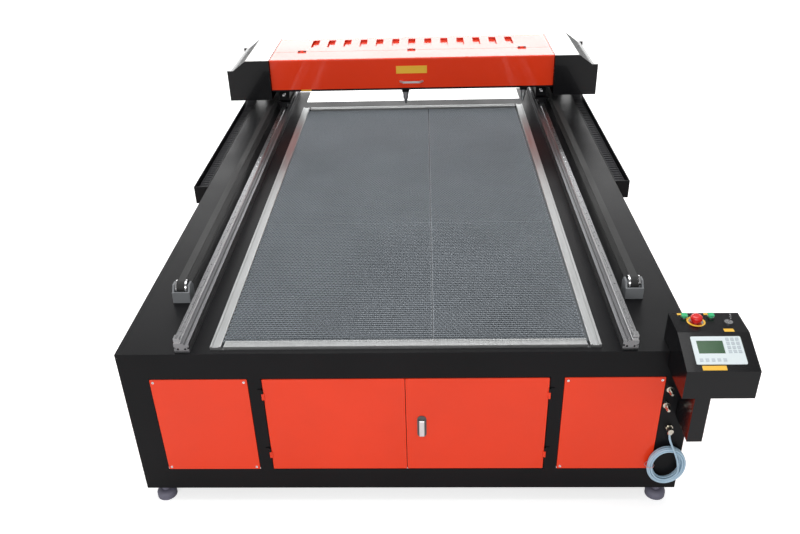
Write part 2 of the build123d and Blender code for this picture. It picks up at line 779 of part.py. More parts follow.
def build_end_boxes():
    """Folded end housings, open towards the beam, between a front and a rear plate."""
    shoulder = GANTRY_HALF - 36
    outer = GANTRY_HALF - PLATE_LIP
    with BuildPart() as housing:
        with BuildSketch(facing_front(0, GANTRY_REAR, 0)):
            with BuildLine():
                Polyline(
                    (COVER_HALF, BOX_LOW), (outer, BOX_LOW), (outer, BOX_SHOULDER),
                    (shoulder, BOX_SHOULDER), (CHAMFER_X, BOX_TOP - SHEET),
                    (CHAMFER_X - 3, BOX_TOP - SHEET), (shoulder - 4, BOX_SHOULDER - SHEET),
                    (outer - SHEET, BOX_SHOULDER - SHEET), (outer - SHEET, BOX_LOW + SHEET),
                    (COVER_HALF, BOX_LOW + SHEET), (COVER_HALF, BOX_LOW),
                )
            make_face()
        extrude(amount=GANTRY_REAR - GANTRY_FRONT)
        for y in (GANTRY_FRONT + PLATE_T, GANTRY_REAR):
            with BuildSketch(facing_front(0, y, 0)):
                with BuildLine():
                    Polyline(plate_outline(GANTRY_HALF))
                make_face()
            extrude(amount=PLATE_T)
    keep_group(both_sides(housing.part), "end_boxes")


def build_end_caps():
    """The flat top covers of the end boxes."""
    y = (GANTRY_FRONT + PLATE_T + APART, GANTRY_REAR - PLATE_T - APART)
    cap = block((COVER_HALF, CHAMFER_X - 1), y, (BOX_TOP - SHEET, BOX_TOP))
    keep_group(both_sides(cap), "end_caps")


def build_tube_cover():
    """The rear cover over the laser tubes, with its vents and the baffle under them."""
    half = COVER_HALF - 1
    with BuildPart() as cover:
        with BuildSketch(along_x(-half, 0, 0)):
            with BuildLine():
                Polyline(
                    (HINGE_Y + 2, LID_TOP), (GANTRY_REAR, LID_TOP), (GANTRY_REAR, TOP + 178),
                    (GANTRY_REAR - SHEET, TOP + 178), (GANTRY_REAR - SHEET, LID_TOP - SHEET),
                    (HINGE_Y + 2, LID_TOP - SHEET), (HINGE_Y + 2, LID_TOP),
                )
            make_face()
        extrude(amount=2 * half)
        fillet(cover.edges().filter_by(Axis.X).group_by(Axis.Z)[-1].sort_by(Axis.Y)[-1], 8)
        with BuildSketch(level(0, VENT_Y, LID_TOP - SHEET)):
            with GridLocations(VENT_PITCH, 0, VENTS, 1):
                RectangleRounded(VENT_W, VENT_L, 6)
        extrude(amount=SHEET, mode=Mode.SUBTRACT)
        with BuildSketch(along_x(-640, VENT_Y, LID_TOP - SHEET)):
            with BuildLine():
                edge = VENT_L / 2 + 8
                Polyline(
                    (-edge - 2, 0), (-edge, 0), (-edge, -12), (edge, -12), (edge, 0), (edge + 2, 0),
                    (edge + 2, -14), (-edge - 2, -14), (-edge - 2, 0),
                )
            make_face()
        extrude(amount=1280)
    keep(cover.part, "tube_cover")


def build_lid():
    """The front lid: a folded sheet over the front and the front part of the top."""
    half = COVER_HALF - 1.5
    with BuildPart() as lid:
        with BuildSketch(along_x(-half, 0, 0)):
            with BuildLine():
                Polyline(
                    (HINGE_Y - 2, LID_TOP), (LID_FRONT, LID_TOP), (LID_FRONT, LID_LOW),
                    (LID_FRONT + 24, LID_LOW), (LID_FRONT + 24, LID_LOW + 2),
                    (LID_FRONT + SHEET, LID_LOW + 2), (LID_FRONT + SHEET, LID_TOP - SHEET),
                    (HINGE_Y - 2, LID_TOP - SHEET), (HINGE_Y - 2, LID_TOP),
                )
            make_face()
        extrude(amount=2 * half)
        edges = lid.edges().filter_by(Axis.X)
        fillet(edges.group_by(Axis.Z)[-1].sort_by(Axis.Y)[0], 7)
    hinges = [hinge_leaf(x, -1) for x in HINGE_X]
    keep_group([lid.part, *hinges], "gantry_lid")


HINGE_X = (-675, 0, 675)
HINGE_R = 4
HINGE_PIN = 2
HINGE_Z = LID_TOP + HINGE_R + APART


def hinge_leaf(x, side):
    """Half of a lid hinge: the lid's leaf has the middle knuckle, the cover's has the outer
    knuckles and the pin."""
    spans = [(-10, 10)] if side < 0 else [(-25, -10.3), (10.3, 25)]
    with BuildPart() as leaf:
        with BuildSketch(level(x, HINGE_Y + side * 14, LID_TOP)):
            Rectangle(50, 16)
        extrude(amount=2)
        for start, end in spans:
            with BuildSketch(along_x(x + start, HINGE_Y, HINGE_Z)):
                Circle(HINGE_R)
                if side < 0:
                    Circle(HINGE_PIN + RUNNING, mode=Mode.SUBTRACT)
            extrude(amount=end - start)
            with BuildSketch(level(x + (start + end) / 2, HINGE_Y + side * 5, LID_TOP + 0.6)):
                Rectangle(end - start, 5)
            extrude(amount=1.4)
        if side > 0:
            with BuildSketch(along_x(x - 25, HINGE_Y, HINGE_Z)):
                Circle(HINGE_PIN)
            extrude(amount=50)
    return leaf.part


def build_lid_hinges():
    keep_group([hinge_leaf(x, 1) for x in HINGE_X], "lid_hinges")


def build_lid_handle():
    """A bow handle with a flat grip and two raking feet."""
    z = LID_LOW + 34
    reach = 24
    with BuildPart() as handle:
        with BuildSketch(level(0, LID_FRONT, z)):
            with BuildLine():
                Polyline(
                    (-72, 0), (-50, -reach), (50, -reach), (72, 0), (62, 0), (46, -reach + 6),
                    (-46, -reach + 6), (-62, 0), (-72, 0),
                )
            make_face()
        extrude(amount=12)
        fillet(handle.edges().filter_by(Axis.Z).group_by(Axis.Y)[0], 5)
    keep(handle.part, "lid_handle")


def build_laser_tubes():
    """Two glass tubes side by side, each with a stepped end for its electrode and mirror."""
    tubes = []
    for y in TUBE_Y:
        with BuildPart() as tube:
            with BuildSketch(Plane(origin=(0, y, TUBE_Z), x_dir=(1, 0, 0), z_dir=(0, 0, 1))):
                with BuildLine():
                    half = TUBE_L / 2
                    Polyline(
                        (-half, 0), (-half, 17), (-half + 45, 17), (-half + 45, 22),
                        (-half + 80, 22), (-half + 95, TUBE_R), (half - 95, TUBE_R),
                        (half - 80, 22), (half - 45, 22), (half - 45, 17), (half, 17), (half, 0),
                        (-half, 0),
                    )
                make_face()
            revolve(axis=Axis((0, y, TUBE_Z), (1, 0, 0)))
        tubes.append(tube.part)
    keep_group(tubes, "laser_tubes")


def build_optics_mounts():
    """Saddles for the tubes on the rear shelf, and the fixed mirror stands at the ends."""
    shelf = TOP + 184
    saddles = []
    for x in (-520, 520):
        with BuildPart() as saddle:
            with BuildSketch(along_x(x - 15, (TUBE_Y[0] + TUBE_Y[1]) / 2, 0)):
                with Locations((0, (shelf + TUBE_Z) / 2 + 6)):
                    Rectangle(TUBE_Y[1] - TUBE_Y[0] + 100, TUBE_Z - shelf + 12)
                for y in TUBE_Y:
                    with Locations((y - (TUBE_Y[0] + TUBE_Y[1]) / 2, TUBE_Z)):
                        Circle(TUBE_R + APART, mode=Mode.SUBTRACT)
            extrude(amount=30)
        saddles.append(saddle.part)
    for x, y in ((-828, TUBE_Y[0]), (828, TUBE_Y[1])):
        with BuildPart() as stand:
            with BuildSketch(level(x, y, shelf)):
                Rectangle(34, 40)
            extrude(amount=8)
            with BuildSketch(level(x, y, shelf + 8)):
                Rectangle(16, 16)
            extrude(amount=TUBE_Z - shelf - 28)
            with BuildSketch(Plane(origin=(x, y, TUBE_Z - 20), z_dir=(0, 0, 1))):
                Rectangle(34, 34)
            extrude(amount=40)
            with BuildSketch(facing_front(x, y - 17, TUBE_Z)):
                Circle(12)
            extrude(amount=6)
        saddles.append(stand.part)
    keep_group(saddles, "optics_mounts")


# Heads and their belt
HEAD_BELT_Z = BEAM_Z - 25
HEAD_PULLEY_R = 12
HEAD_PULLEY_X = 900


def build_head_belt():
    """The belt loop in front of the beam that both heads hang on."""
    with BuildPart() as belt:
        with BuildSketch(facing_front(0, BEAM_Y - BEAM_W / 2 - 8, HEAD_BELT_Z)):
            SlotCenterToCenter(2 * HEAD_PULLEY_X, 2 * (HEAD_PULLEY_R + 2))
            SlotCenterToCenter(2 * HEAD_PULLEY_X, 2 * (HEAD_PULLEY_R + RUNNING), mode=Mode.SUBTRACT)
        extrude(amount=14)
        for x in (-HEAD_PULLEY_X, HEAD_PULLEY_X):
            with BuildSketch(facing_front(x, BEAM_Y - BEAM_W / 2, HEAD_BELT_Z)):
                Circle(5)
            extrude(amount=26)
    keep(belt.part, "head_belt")


def head_pulley(x):
    with BuildPart() as wheel:
        with BuildSketch(facing_front(x, BEAM_Y - BEAM_W / 2 - 8, HEAD_BELT_Z)):
            Circle(HEAD_PULLEY_R)
            Circle(5 + RUNNING, mode=Mode.SUBTRACT)
        extrude(amount=14)
    return wheel.part


def build_head_pulleys():
    keep(head_pulley(-HEAD_PULLEY_X), "head_pulley_left")
    keep(head_pulley(HEAD_PULLEY_X), "head_pulley_right")


def build_head(x, label):
    """A head carriage: the block on the beam's rail, the mirror housing and the bored body
    that holds the lens tube."""
    rail_front = BEAM_Y - BEAM_W / 2 - 12
    body_low = TOP + 128
    with BuildPart() as head:
        with BuildSketch(along_x(x - 40, 0, 0)):
            with BuildLine():
                front = rail_front - 16
                top, low = HEAD_RAIL_Z + 24, HEAD_RAIL_Z - 24
                Polyline(
                    (front, low), (rail_front + 8, low), (rail_front + 8, HEAD_RAIL_Z - 12.3),
                    (rail_front - APART, HEAD_RAIL_Z - 12.3), (rail_front - APART, HEAD_RAIL_Z + 12.3),
                    (rail_front + 8, HEAD_RAIL_Z + 12.3), (rail_front + 8, top), (front, top), (front, low),
                )
            make_face()
        extrude(amount=80)
        with BuildSketch(facing_front(x, rail_front - 16, (top + body_low) / 2 - 6)):
            Rectangle(64, top - body_low - 12)
        extrude(amount=6)
        with BuildSketch(level(x, HEAD_BORE_Y, body_low)):
            RectangleRounded(44, 44, 6)
            Circle(16 + RUNNING, mode=Mode.SUBTRACT)
        extrude(amount=64)
        with BuildSketch(level(x, HEAD_BORE_Y, body_low + 64)):
            RectangleRounded(44, 44, 6)
        extrude(amount=34)
    keep(head.part, label)


def build_lens_tube(x, label):
    """The focusing tube with its knurled ring and tapered nozzle."""
    body_low = TOP + 128
    tip = NOZZLE_TIP
    y = HEAD_BORE_Y
    with BuildPart() as tube:
        with BuildSketch(Plane(origin=(x, y, 0), x_dir=(1, 0, 0), z_dir=(0, -1, 0))):
            with BuildLine():
                Polyline(
                    (3, tip), (5, tip), (13, tip + 34), (16, tip + 36), (16, body_low - 16),
                    (19, body_low - 15), (19, body_low - 6), (16, body_low - 5),
                    (16, body_low + 52), (12, body_low + 52), (12, tip + 44), (3, tip + 20), (3, tip),
                )
            make_face()
        revolve(axis=Axis((x, y, 0), (0, 0, 1)))
    keep(tube.part, label)


# Doors of the electrics bay
DOOR_W = DOOR_BAY_W / 2 - DOOR_GAP - 1
DOOR_H = PANEL_H - 2 * DOOR_GAP
DOOR_PIN_X = DOOR_BAY_W / 2 + 0.5
DOOR_PIN_Y = -4.5
KNUCKLE_R = 3.5
DOOR_PIN_R = 1.8
HINGE_HEIGHTS = (PANEL_Z - 140, PANEL_Z + 140)


def door_knuckle(z):
    """The door's leaf with the middle knuckle, on the right door."""
    with BuildPart() as leaf:
        with BuildSketch(level(DOOR_PIN_X, DOOR_PIN_Y, z - 14)):
            Circle(KNUCKLE_R)
            with Locations((-4.6, 0)):
                Rectangle(5, 2.4)
            Circle(DOOR_PIN_R + RUNNING, mode=Mode.SUBTRACT)
        extrude(amount=28)
        with BuildSketch(level(DOOR_PIN_X - 5.6, DOOR_PIN_Y + 2.4, z - 14)):
            Rectangle(3, 4)
        extrude(amount=28)
    return leaf.part


def right_door():
    """The right door: a folded pan with a stiffening hat behind it."""
    middle = (DOOR_BAY_W / 2 - DOOR_GAP + 1) / 2
    with BuildPart() as door:
        add(panel_pan(DOOR_W, DOOR_H).moved(Location((middle, 0, PANEL_Z))))
        for z in HINGE_HEIGHTS:
            add(door_knuckle(z))
    return door.part


LATCH_X = 58
LATCH_Z = TOP - 333
LATCH_PIN_Y = -8.5


def build_doors():
    door = right_door()
    left = mirror(door, about=Plane.YZ)
    with BuildPart() as right:
        add(door)
        with BuildSketch(facing_front(LATCH_X, 4, LATCH_Z)):
            Rectangle(20, 66)
        extrude(amount=8, mode=Mode.SUBTRACT)
    keep(left, "door_left")
    keep(right.part, "door_right")


def build_door_hinges():
    """The fixed leaves on the posts beside the doors, with their outer knuckles and pins."""
    leaves = []
    for z in HINGE_HEIGHTS:
        with BuildPart() as leaf:
            for start, end in ((z - 32, z - 14.3), (z + 14.3, z + 32)):
                with BuildSketch(level(DOOR_PIN_X, DOOR_PIN_Y, start)):
                    Circle(KNUCKLE_R)
                extrude(amount=end - start)
                with BuildSketch(level(DOOR_PIN_X + 8, DOOR_PIN_Y + 3.2, start)):
                    Rectangle(16, 2.6)
                extrude(amount=end - start)
            with BuildSketch(level(DOOR_PIN_X, DOOR_PIN_Y, z - 32)):
                Circle(DOOR_PIN_R)
            extrude(amount=64)
            with BuildSketch(level(DOOR_PIN_X + 11, DOOR_PIN_Y + 3.2, z - 32)):
                Rectangle(10, 2.6)
            extrude(amount=64)
        leaves += both_sides(leaf.part)
    keep_group(leaves, "door_hinges")


def build_latch():
    """The latch's plate on the right door and its lift handle, pinned at the top."""
    with BuildPart() as plate:
        with BuildSketch(facing_front(LATCH_X, -1, LATCH_Z)):
            SlotOverall(100, 34, rotation=90)
            with Locations((0, -8)):
                Rectangle(19, 60, mode=Mode.SUBTRACT)
        extrude(amount=3)
        with BuildSketch(along_x(LATCH_X - 14, LATCH_PIN_Y, LATCH_Z + 28)):
            Circle(2.5)
        extrude(amount=28)
        for x in (LATCH_X - 14, LATCH_X + 10):
            with BuildSketch(along_x(x, LATCH_PIN_Y, LATCH_Z + 28)):
                Circle(5)
                with Locations((3, 0)):
                    Rectangle(6, 10)
            extrude(amount=4)
    with BuildPart() as handle:
        with BuildSketch(along_x(LATCH_X - 9, LATCH_PIN_Y, LATCH_Z + 28)):
            Polygon((-4, 0), (4, 0), (4, -6), (1.5, -66), (-3, -70), (-6, -66), align=None)
            Circle(4)
            Circle(2.5 + RUNNING, mode=Mode.SUBTRACT)
        extrude(amount=18)
    keep(plate.part, "latch_plate")
    keep(handle.part, "latch_handle")


# Control console
def console_profile(grow):
    """The side outline of the console, drawn in by the given wall, in Y and Z."""
    front, rear = CONSOLE_Y[0] + grow, CONSOLE_Y[1] - grow
    slope = (CONSOLE_TOP - CONSOLE_NOSE) / (SLOPE_END - CONSOLE_Y[0])
    nose = CONSOLE_NOSE - grow * 0.9
    low = CONSOLE_LOW + grow
    return [
        (front, low), (-4 - grow, low), (-4 - grow, TOP + grow + 0.5), (rear, TOP + grow + 0.5),
        (rear, CONSOLE_TOP - grow), (SLOPE_END + grow * slope / 2, CONSOLE_TOP - grow),
        (front, nose), (front, low),
    ]


def build_console_box():
    """The console's folded case, notched to sit over the corner of the table."""
    with BuildPart() as case:
        with BuildSketch(along_x(CONSOLE_X[0], 0, 0)):
            with BuildLine():
                Polyline(console_profile(0))
            make_face()
        extrude(amount=CONSOLE_X[1] - CONSOLE_X[0])
        with BuildSketch(along_x(CONSOLE_X[0] + CONSOLE_WALL, 0, 0)):
            with BuildLine():
                Polyline(console_profile(CONSOLE_WALL))
            make_face()
        extrude(amount=CONSOLE_X[1] - CONSOLE_X[0] - 2 * CONSOLE_WALL, mode=Mode.SUBTRACT)
        with BuildSketch(level(0, 0, CONSOLE_TOP - 6)):
            with Locations(STOP_AT):
                Circle(SWITCH_STEM + RUNNING)
            with Locations(*BUTTON_AT):
                Circle(BUTTON_R + 0.1)
            with Locations(KEY_AT):
                Circle(KEY_R + 0.1)
        extrude(amount=8, mode=Mode.SUBTRACT)
    keep(case.part, "console_box")


SWITCH_STEM = 11
BUTTON_R = 8
KEY_R = 7


def slope_plane(distance, lift=0):
    """A plane on the console's sloping face, at a distance up the slope from the nose."""
    run, rise = SLOPE_END - CONSOLE_Y[0], CONSOLE_TOP - CONSOLE_NOSE
    length = (run * run + rise * rise) ** 0.5
    y_dir = Vector(0, run / length, rise / length)
    normal = Vector(1, 0, 0).cross(y_dir)
    origin = Vector(1034, CONSOLE_Y[0], CONSOLE_NOSE) + y_dir * distance + normal * lift
    return Plane(origin=origin, x_dir=(1, 0, 0), z_dir=normal)


def build_console_bezel():
    """The keypad module's flat frame, round its screen."""
    with BuildPart() as bezel:
        with BuildSketch(slope_plane(80)):
            RectangleRounded(164, 108, 5)
            with Locations((-23, 12)):
                Rectangle(86, 50, mode=Mode.SUBTRACT)
        extrude(amount=4)
        fillet(bezel.faces().sort_by(Axis.Z)[-1].outer_wire().edges(), 1)
    with BuildPart() as screen:
        with BuildSketch(slope_plane(80)):
            with Locations((-23, 12)):
                Rectangle(85.6, 49.6)
        extrude(amount=2.5)
    keep(bezel.part, "console_bezel")
    keep(screen.part, "console_screen")


def build_console_support():
    """The open-backed box under the console that the front face carries."""
    with BuildPart() as support:
        add(block(SUPPORT_X, SUPPORT_Y, (SUPPORT_LOW, CONSOLE_LOW)))
        offset(amount=-SHEET, openings=support.faces().sort_by(Axis.Z)[-1])
    keep(support.part, "console_support")


def ring(x, y, inner, outer, height):
    """A flat collar on the console's top."""
    with BuildPart() as collar:
        with BuildSketch(level(x, y, CONSOLE_TOP)):
            Circle(outer)
            Circle(inner, mode=Mode.SUBTRACT)
        extrude(amount=height)
    return collar.part


def build_switch_collars():
    """The fixed rings round the stop button, the push buttons and the key."""
    rings = [ring(*STOP_AT, SWITCH_STEM + RUNNING, 24, 2)]
    rings += [ring(x, y, BUTTON_R + 0.1, 12, 3) for x, y in BUTTON_AT]
    rings.append(ring(*KEY_AT, KEY_R + 0.1, 14, 4))
    keep_group(rings, "switch_collars")


def build_stop_button():
    x, y = STOP_AT
    base = CONSOLE_TOP
    with BuildPart() as stop:
        with BuildSketch(facing_front(x, y, 0)):
            with BuildLine():
                Polyline(
                    (0, base - 14), (SWITCH_STEM, base - 14), (SWITCH_STEM, base + 10),
                    (20, base + 10), (20, base + 18),
                )
                ThreePointArc((20, base + 18), (17, base + 23), (10, base + 26))
                Polyline((10, base + 26), (0, base + 26), (0, base - 14))
            make_face()
        revolve(axis=Axis((x, y, 0), (0, 0, 1)))
    keep(stop.part, "stop_button")


def build_push_button(x, y, label):
    with BuildPart() as button:
        with BuildSketch(level(x, y, CONSOLE_TOP - 12)):
            Circle(BUTTON_R)
        extrude(amount=19)
        chamfer(button.faces().sort_by(Axis.Z)[-1].edges(), 0.8)
    keep(button.part, label)


def build_key():
    x, y = KEY_AT
    with BuildPart() as key:
        with BuildSketch(level(x, y, CONSOLE_TOP - 12)):
            Circle(KEY_R)
        extrude(amount=18)
        with BuildSketch(level(x, y, CONSOLE_TOP + 6)):
            Rectangle(2.4, 9)
        extrude(amount=8)
        with BuildSketch(along_x(x - 1.2, y, CONSOLE_TOP + 14 + 8)):
            Circle(11)
            with Locations((0, 3)):
                Circle(3, mode=Mode.SUBTRACT)
        extrude(amount=2.4)
    keep(key.part, "power_key")


# Air supply at the front
def build_air_fittings():
    """The bulkhead fitting that the hose leaves, and two water nipples above it."""
    x, y, z = FITTING_AT
    pieces = []
    with BuildPart() as bulkhead:
        with BuildSketch(facing_front(x, 0, z)):
            RegularPolygon(14, 6)
        extrude(amount=8)
        with BuildSketch(facing_front(x, -8, z)):
            Circle(10)
        extrude(amount=-y - 8 + 10)
        with BuildSketch(level(x, y, z - 16)):
            Circle(9)
            Circle(HOSE_R, mode=Mode.SUBTRACT)
        extrude(amount=16)
    pieces.append(bulkhead.part)
    for nipple_x, nipple_z in ((940, TOP - 163), (937, TOP - 235)):
        with BuildPart() as nipple:
            with BuildSketch(Plane(origin=(nipple_x, 0, nipple_z), x_dir=(1, 0, 0), z_dir=(0, 0, 1))):
                with BuildLine():
                    Polyline(
                        (0, 0), (13, 0), (13, -8), (7, -10), (7, -16), (9, -18), (6, -26), (8, -28),
                        (5, -38), (0, -38), (0, 0),
                    )
                make_face()
            revolve(axis=Axis((nipple_x, 0, nipple_z), (0, 1, 0)))
        pieces.append(nipple.part)
    keep_group(pieces, "air_fittings")


def hose_route():
    """The corners of the hose from the fitting down to the coil."""
    x, y, z = FITTING_AT
    start = z - 16
    return [
        (x, y, start),
        (x + 1.5, y + 0.2, start - 17),
        (x + 5.5, y + 1, start - 33),
        (x + 12, y + 1.8, start - 48),
        (x + 20, y + 2, start - 67),
    ]


def fillet_radii(points):
    """The largest arc that the two runs at each inner corner leave room for."""
    radii = []
    for before, corner, after in zip(points, points[1:], points[2:]):
        first, second = Vector(corner) - Vector(before), Vector(after) - Vector(corner)
        half_turn = radians(first.get_angle(second)) / 2
        radii.append(0.45 * min(first.length, second.length) * cos(half_turn) / sin(half_turn))
    return radii


def build_hose():
    points = hose_route()
    radii = fillet_radii(points)
    with BuildPart() as hose:
        with BuildLine() as path:
            FilletPolyline(*points, radius=radii)
        with BuildSketch(Plane(origin=points[0], z_dir=path.wires()[0] % 0)):
            Circle(HOSE_R)
        sweep()
    keep(hose.part, "air_hose")


def build_coil():
    """The outer shape of the coiled hose, hung flat against the front face."""
    x, y, z = COIL_AT
    with BuildPart() as coil:
        with BuildSketch(facing_front(x, y + COIL_DEEP / 2, z)):
            Ellipse(*COIL_HALF)
            Ellipse(COIL_HALF[0] - COIL_BAND, COIL_HALF[1] - COIL_BAND, mode=Mode.SUBTRACT)
        extrude(amount=COIL_DEEP)
        # Pocket that takes the hose's end
        before, end = hose_route()[-2:]
        with BuildSketch(Plane(origin=end, z_dir=Vector(before) - Vector(end))):
            Circle(HOSE_R + RUNNING)
        extrude(amount=8, mode=Mode.SUBTRACT)
    keep(coil.part, "hose_coil")


# Inside the electrics bay
def build_electrics_plate():
    """A folded plate: the bay's floor and the back board that carries the modules."""
    floor = FOOT_H + TUBE
    with BuildPart() as plate:
        with BuildSketch(along_x(-500, 0, 0)):
            with BuildLine():
                Polyline(
                    (60, floor), (560, floor), (560, TOP - 210), (557, TOP - 210), (557, floor + 3),
                    (60, floor + 3), (60, floor),
                )
            make_face()
        extrude(amount=1000)
    keep(plate.part, "electrics_plate")


def build_electrics_modules():
    """Two laser supplies with ventilated ends, two motor drivers with fins and the
    controller, all on the back board."""
    board = 557
    pieces = []
    for x in (-380, -200):
        with BuildPart() as supply:
            with BuildSketch(facing_front(x, board, PANEL_Z - 20)):
                Rectangle(150, 250)
            extrude(amount=130)
            with BuildSketch(facing_front(x, board - 130, PANEL_Z - 20)):
                with GridLocations(0, 14, 1, 6):
                    Rectangle(100, 5)
            extrude(amount=-4, mode=Mode.SUBTRACT)
        pieces.append(supply.part)
    for x in (40, 130):
        with BuildPart() as driver:
            with BuildSketch(facing_front(x, board, PANEL_Z)):
                Rectangle(56, 150)
            extrude(amount=70)
            with BuildSketch(along_x(x + 28, board - 35, PANEL_Z)):
                with GridLocations(10, 0, 6, 1):
                    Rectangle(3, 150)
            extrude(amount=14)
        pieces.append(driver.part)
    pieces.append(block((250, 440), (board - 45, board), (PANEL_Z - 90, PANEL_Z + 70)))
    keep_group(pieces, "electrics_modules")


build_base_frame()
build_feet()
build_front_fascia()
build_front_panels()
build_body_skins()
build_side_panels()
build_suction_tray()
build_exhaust_collars()
build_table_deck()
build_bed_frame()
build_honeycomb()
build_bed_slats()
build_rail_beams()
build_linear_guides()
build_belts()
build_belt_brackets()
build_pulleys()
build_drive_motors()
build_lower_runs()
build_chain_bends()
build_upper_runs()
build_troughs()
build_gantry_frame()
build_carriages()
build_end_boxes()
build_end_caps()
build_tube_cover()
build_lid()
build_lid_hinges()
build_lid_handle()
build_laser_tubes()
build_optics_mounts()
build_head_belt()
build_head_pulleys()
build_head(HEAD_X[0], "head_left")
build_head(HEAD_X[1], "head_right")
build_lens_tube(HEAD_X[0], "lens_tube_left")
build_lens_tube(HEAD_X[1], "lens_tube_right")
build_doors()
build_door_hinges()
build_latch()
build_console_box()
build_console_bezel()
build_console_support()
build_switch_collars()
build_stop_button()
build_push_button(*BUTTON_AT[0], "button_left")
build_push_button(*BUTTON_AT[1], "button_right")
build_key()
build_air_fittings()
build_hose()
build_coil()
build_electrics_plate()
build_electrics_modules()
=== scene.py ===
"""Dresses the large laser engraver: finishes, honeycomb, fasteners, plates, chains and hose."""

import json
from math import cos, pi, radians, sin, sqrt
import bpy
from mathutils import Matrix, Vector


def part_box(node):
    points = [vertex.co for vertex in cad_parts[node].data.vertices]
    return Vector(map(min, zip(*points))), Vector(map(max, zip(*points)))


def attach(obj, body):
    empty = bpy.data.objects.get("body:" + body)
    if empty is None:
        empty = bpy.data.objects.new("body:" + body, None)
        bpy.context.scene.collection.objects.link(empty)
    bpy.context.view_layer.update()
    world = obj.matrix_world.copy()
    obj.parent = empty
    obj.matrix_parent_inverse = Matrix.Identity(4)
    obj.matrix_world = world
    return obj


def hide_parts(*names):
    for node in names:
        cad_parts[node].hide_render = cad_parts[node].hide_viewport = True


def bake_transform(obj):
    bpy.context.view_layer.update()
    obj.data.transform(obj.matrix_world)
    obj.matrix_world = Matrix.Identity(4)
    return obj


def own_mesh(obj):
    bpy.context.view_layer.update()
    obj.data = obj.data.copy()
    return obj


bl_info = {
    "name": "Laser Engraver Dressing",
    "version": (1, 0, 0),
    "blender": (4, 5, 0),
    "location": "View3D > Sidebar > Engraver",
    "description": "Finishes and small pieces of a large-format laser engraving machine",
    "category": "Object",
}

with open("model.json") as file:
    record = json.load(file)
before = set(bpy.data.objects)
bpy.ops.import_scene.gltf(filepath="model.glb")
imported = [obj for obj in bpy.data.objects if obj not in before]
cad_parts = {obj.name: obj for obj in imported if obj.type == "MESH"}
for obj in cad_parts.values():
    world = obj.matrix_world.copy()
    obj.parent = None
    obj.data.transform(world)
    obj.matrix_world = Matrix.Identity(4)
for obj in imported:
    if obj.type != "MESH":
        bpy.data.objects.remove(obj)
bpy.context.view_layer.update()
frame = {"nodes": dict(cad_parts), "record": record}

import bmesh
import bpy
from bpy.props import FloatProperty, FloatVectorProperty, IntProperty, PointerProperty
from mathutils import Matrix, Vector

# The machine's own frame in millimetres has X from its middle, Y from its front face and
# Z from the floor. The shared frame starts at the middle of the footprint.
MIDDLE_X = 23.5
MIDDLE_Y = 1396.0
TABLE_TOP = 716.0


def at(x, y, z):
    """A point of the machine's own frame, in metres of the shared frame."""
    return Vector(((x - MIDDLE_X) / 1000, (y - MIDDLE_Y) / 1000, z / 1000))


class EngraverFinish(bpy.types.PropertyGroup):
    """Colours of the paints and plastics."""

    orange: FloatVectorProperty(name="Orange paint", description="Doors, panels, lid and cover",
                                subtype="COLOR", size=3, min=0, max=1, default=(0.90, 0.050, 0.010))
    black: FloatVectorProperty(name="Black coat", description="Frame, fascia and table top",
                               subtype="COLOR", size=3, min=0, max=1, default=(0.005, 0.005, 0.006))
    cream: FloatVectorProperty(name="Cream paint", description="Top covers of the end boxes",
                               subtype="COLOR", size=3, min=0, max=1, default=(0.82, 0.80, 0.74))
    yellow: FloatVectorProperty(name="Yellow plates", description="Blank plates on lid and console",
                                subtype="COLOR", size=3, min=0, max=1, default=(0.95, 0.54, 0.04))
    hose: FloatVectorProperty(name="Air hose", description="Colour of the air hose",
                              subtype="COLOR", size=3, min=0, max=1, default=(0.42, 0.60, 0.74))


class EngraverSizes(bpy.types.PropertyGroup):
    """Sizes of the pieces that are added to the solids."""

    cell_side: FloatProperty(name="Cell side", description="Length of one wall of a honeycomb cell",
                             subtype="DISTANCE", unit="LENGTH", min=0.004, max=0.03, default=0.0088)
    foil: FloatProperty(name="Foil", description="Thickness of the honeycomb's foil",
                        subtype="DISTANCE", unit="LENGTH", min=0.0003, max=0.002, default=0.0009)
    bolt_pitch: FloatProperty(name="Rail bolt pitch",
                              description="Distance between guide rail bolts",
                              subtype="DISTANCE", unit="LENGTH", min=0.02, max=0.2, default=0.06)
    coil_turns: IntProperty(name="Hose turns", description="Turns of hose in the hanging coil",
                            min=3, max=8, default=8)


# Node groups shared by several finishes
def new_group(name, inputs, outputs):
    """A shader node group with float inputs, given with their defaults, and named outputs."""
    group = bpy.data.node_groups.new(name, "ShaderNodeTree")
    for label, default in inputs.items():
        socket = group.interface.new_socket(label, in_out="INPUT", socket_type="NodeSocketFloat")
        socket.default_value = default
    for label, kind in outputs.items():
        group.interface.new_socket(label, in_out="OUTPUT", socket_type=kind)
    return group, group.nodes.new("NodeGroupInput"), group.nodes.new("NodeGroupOutput")


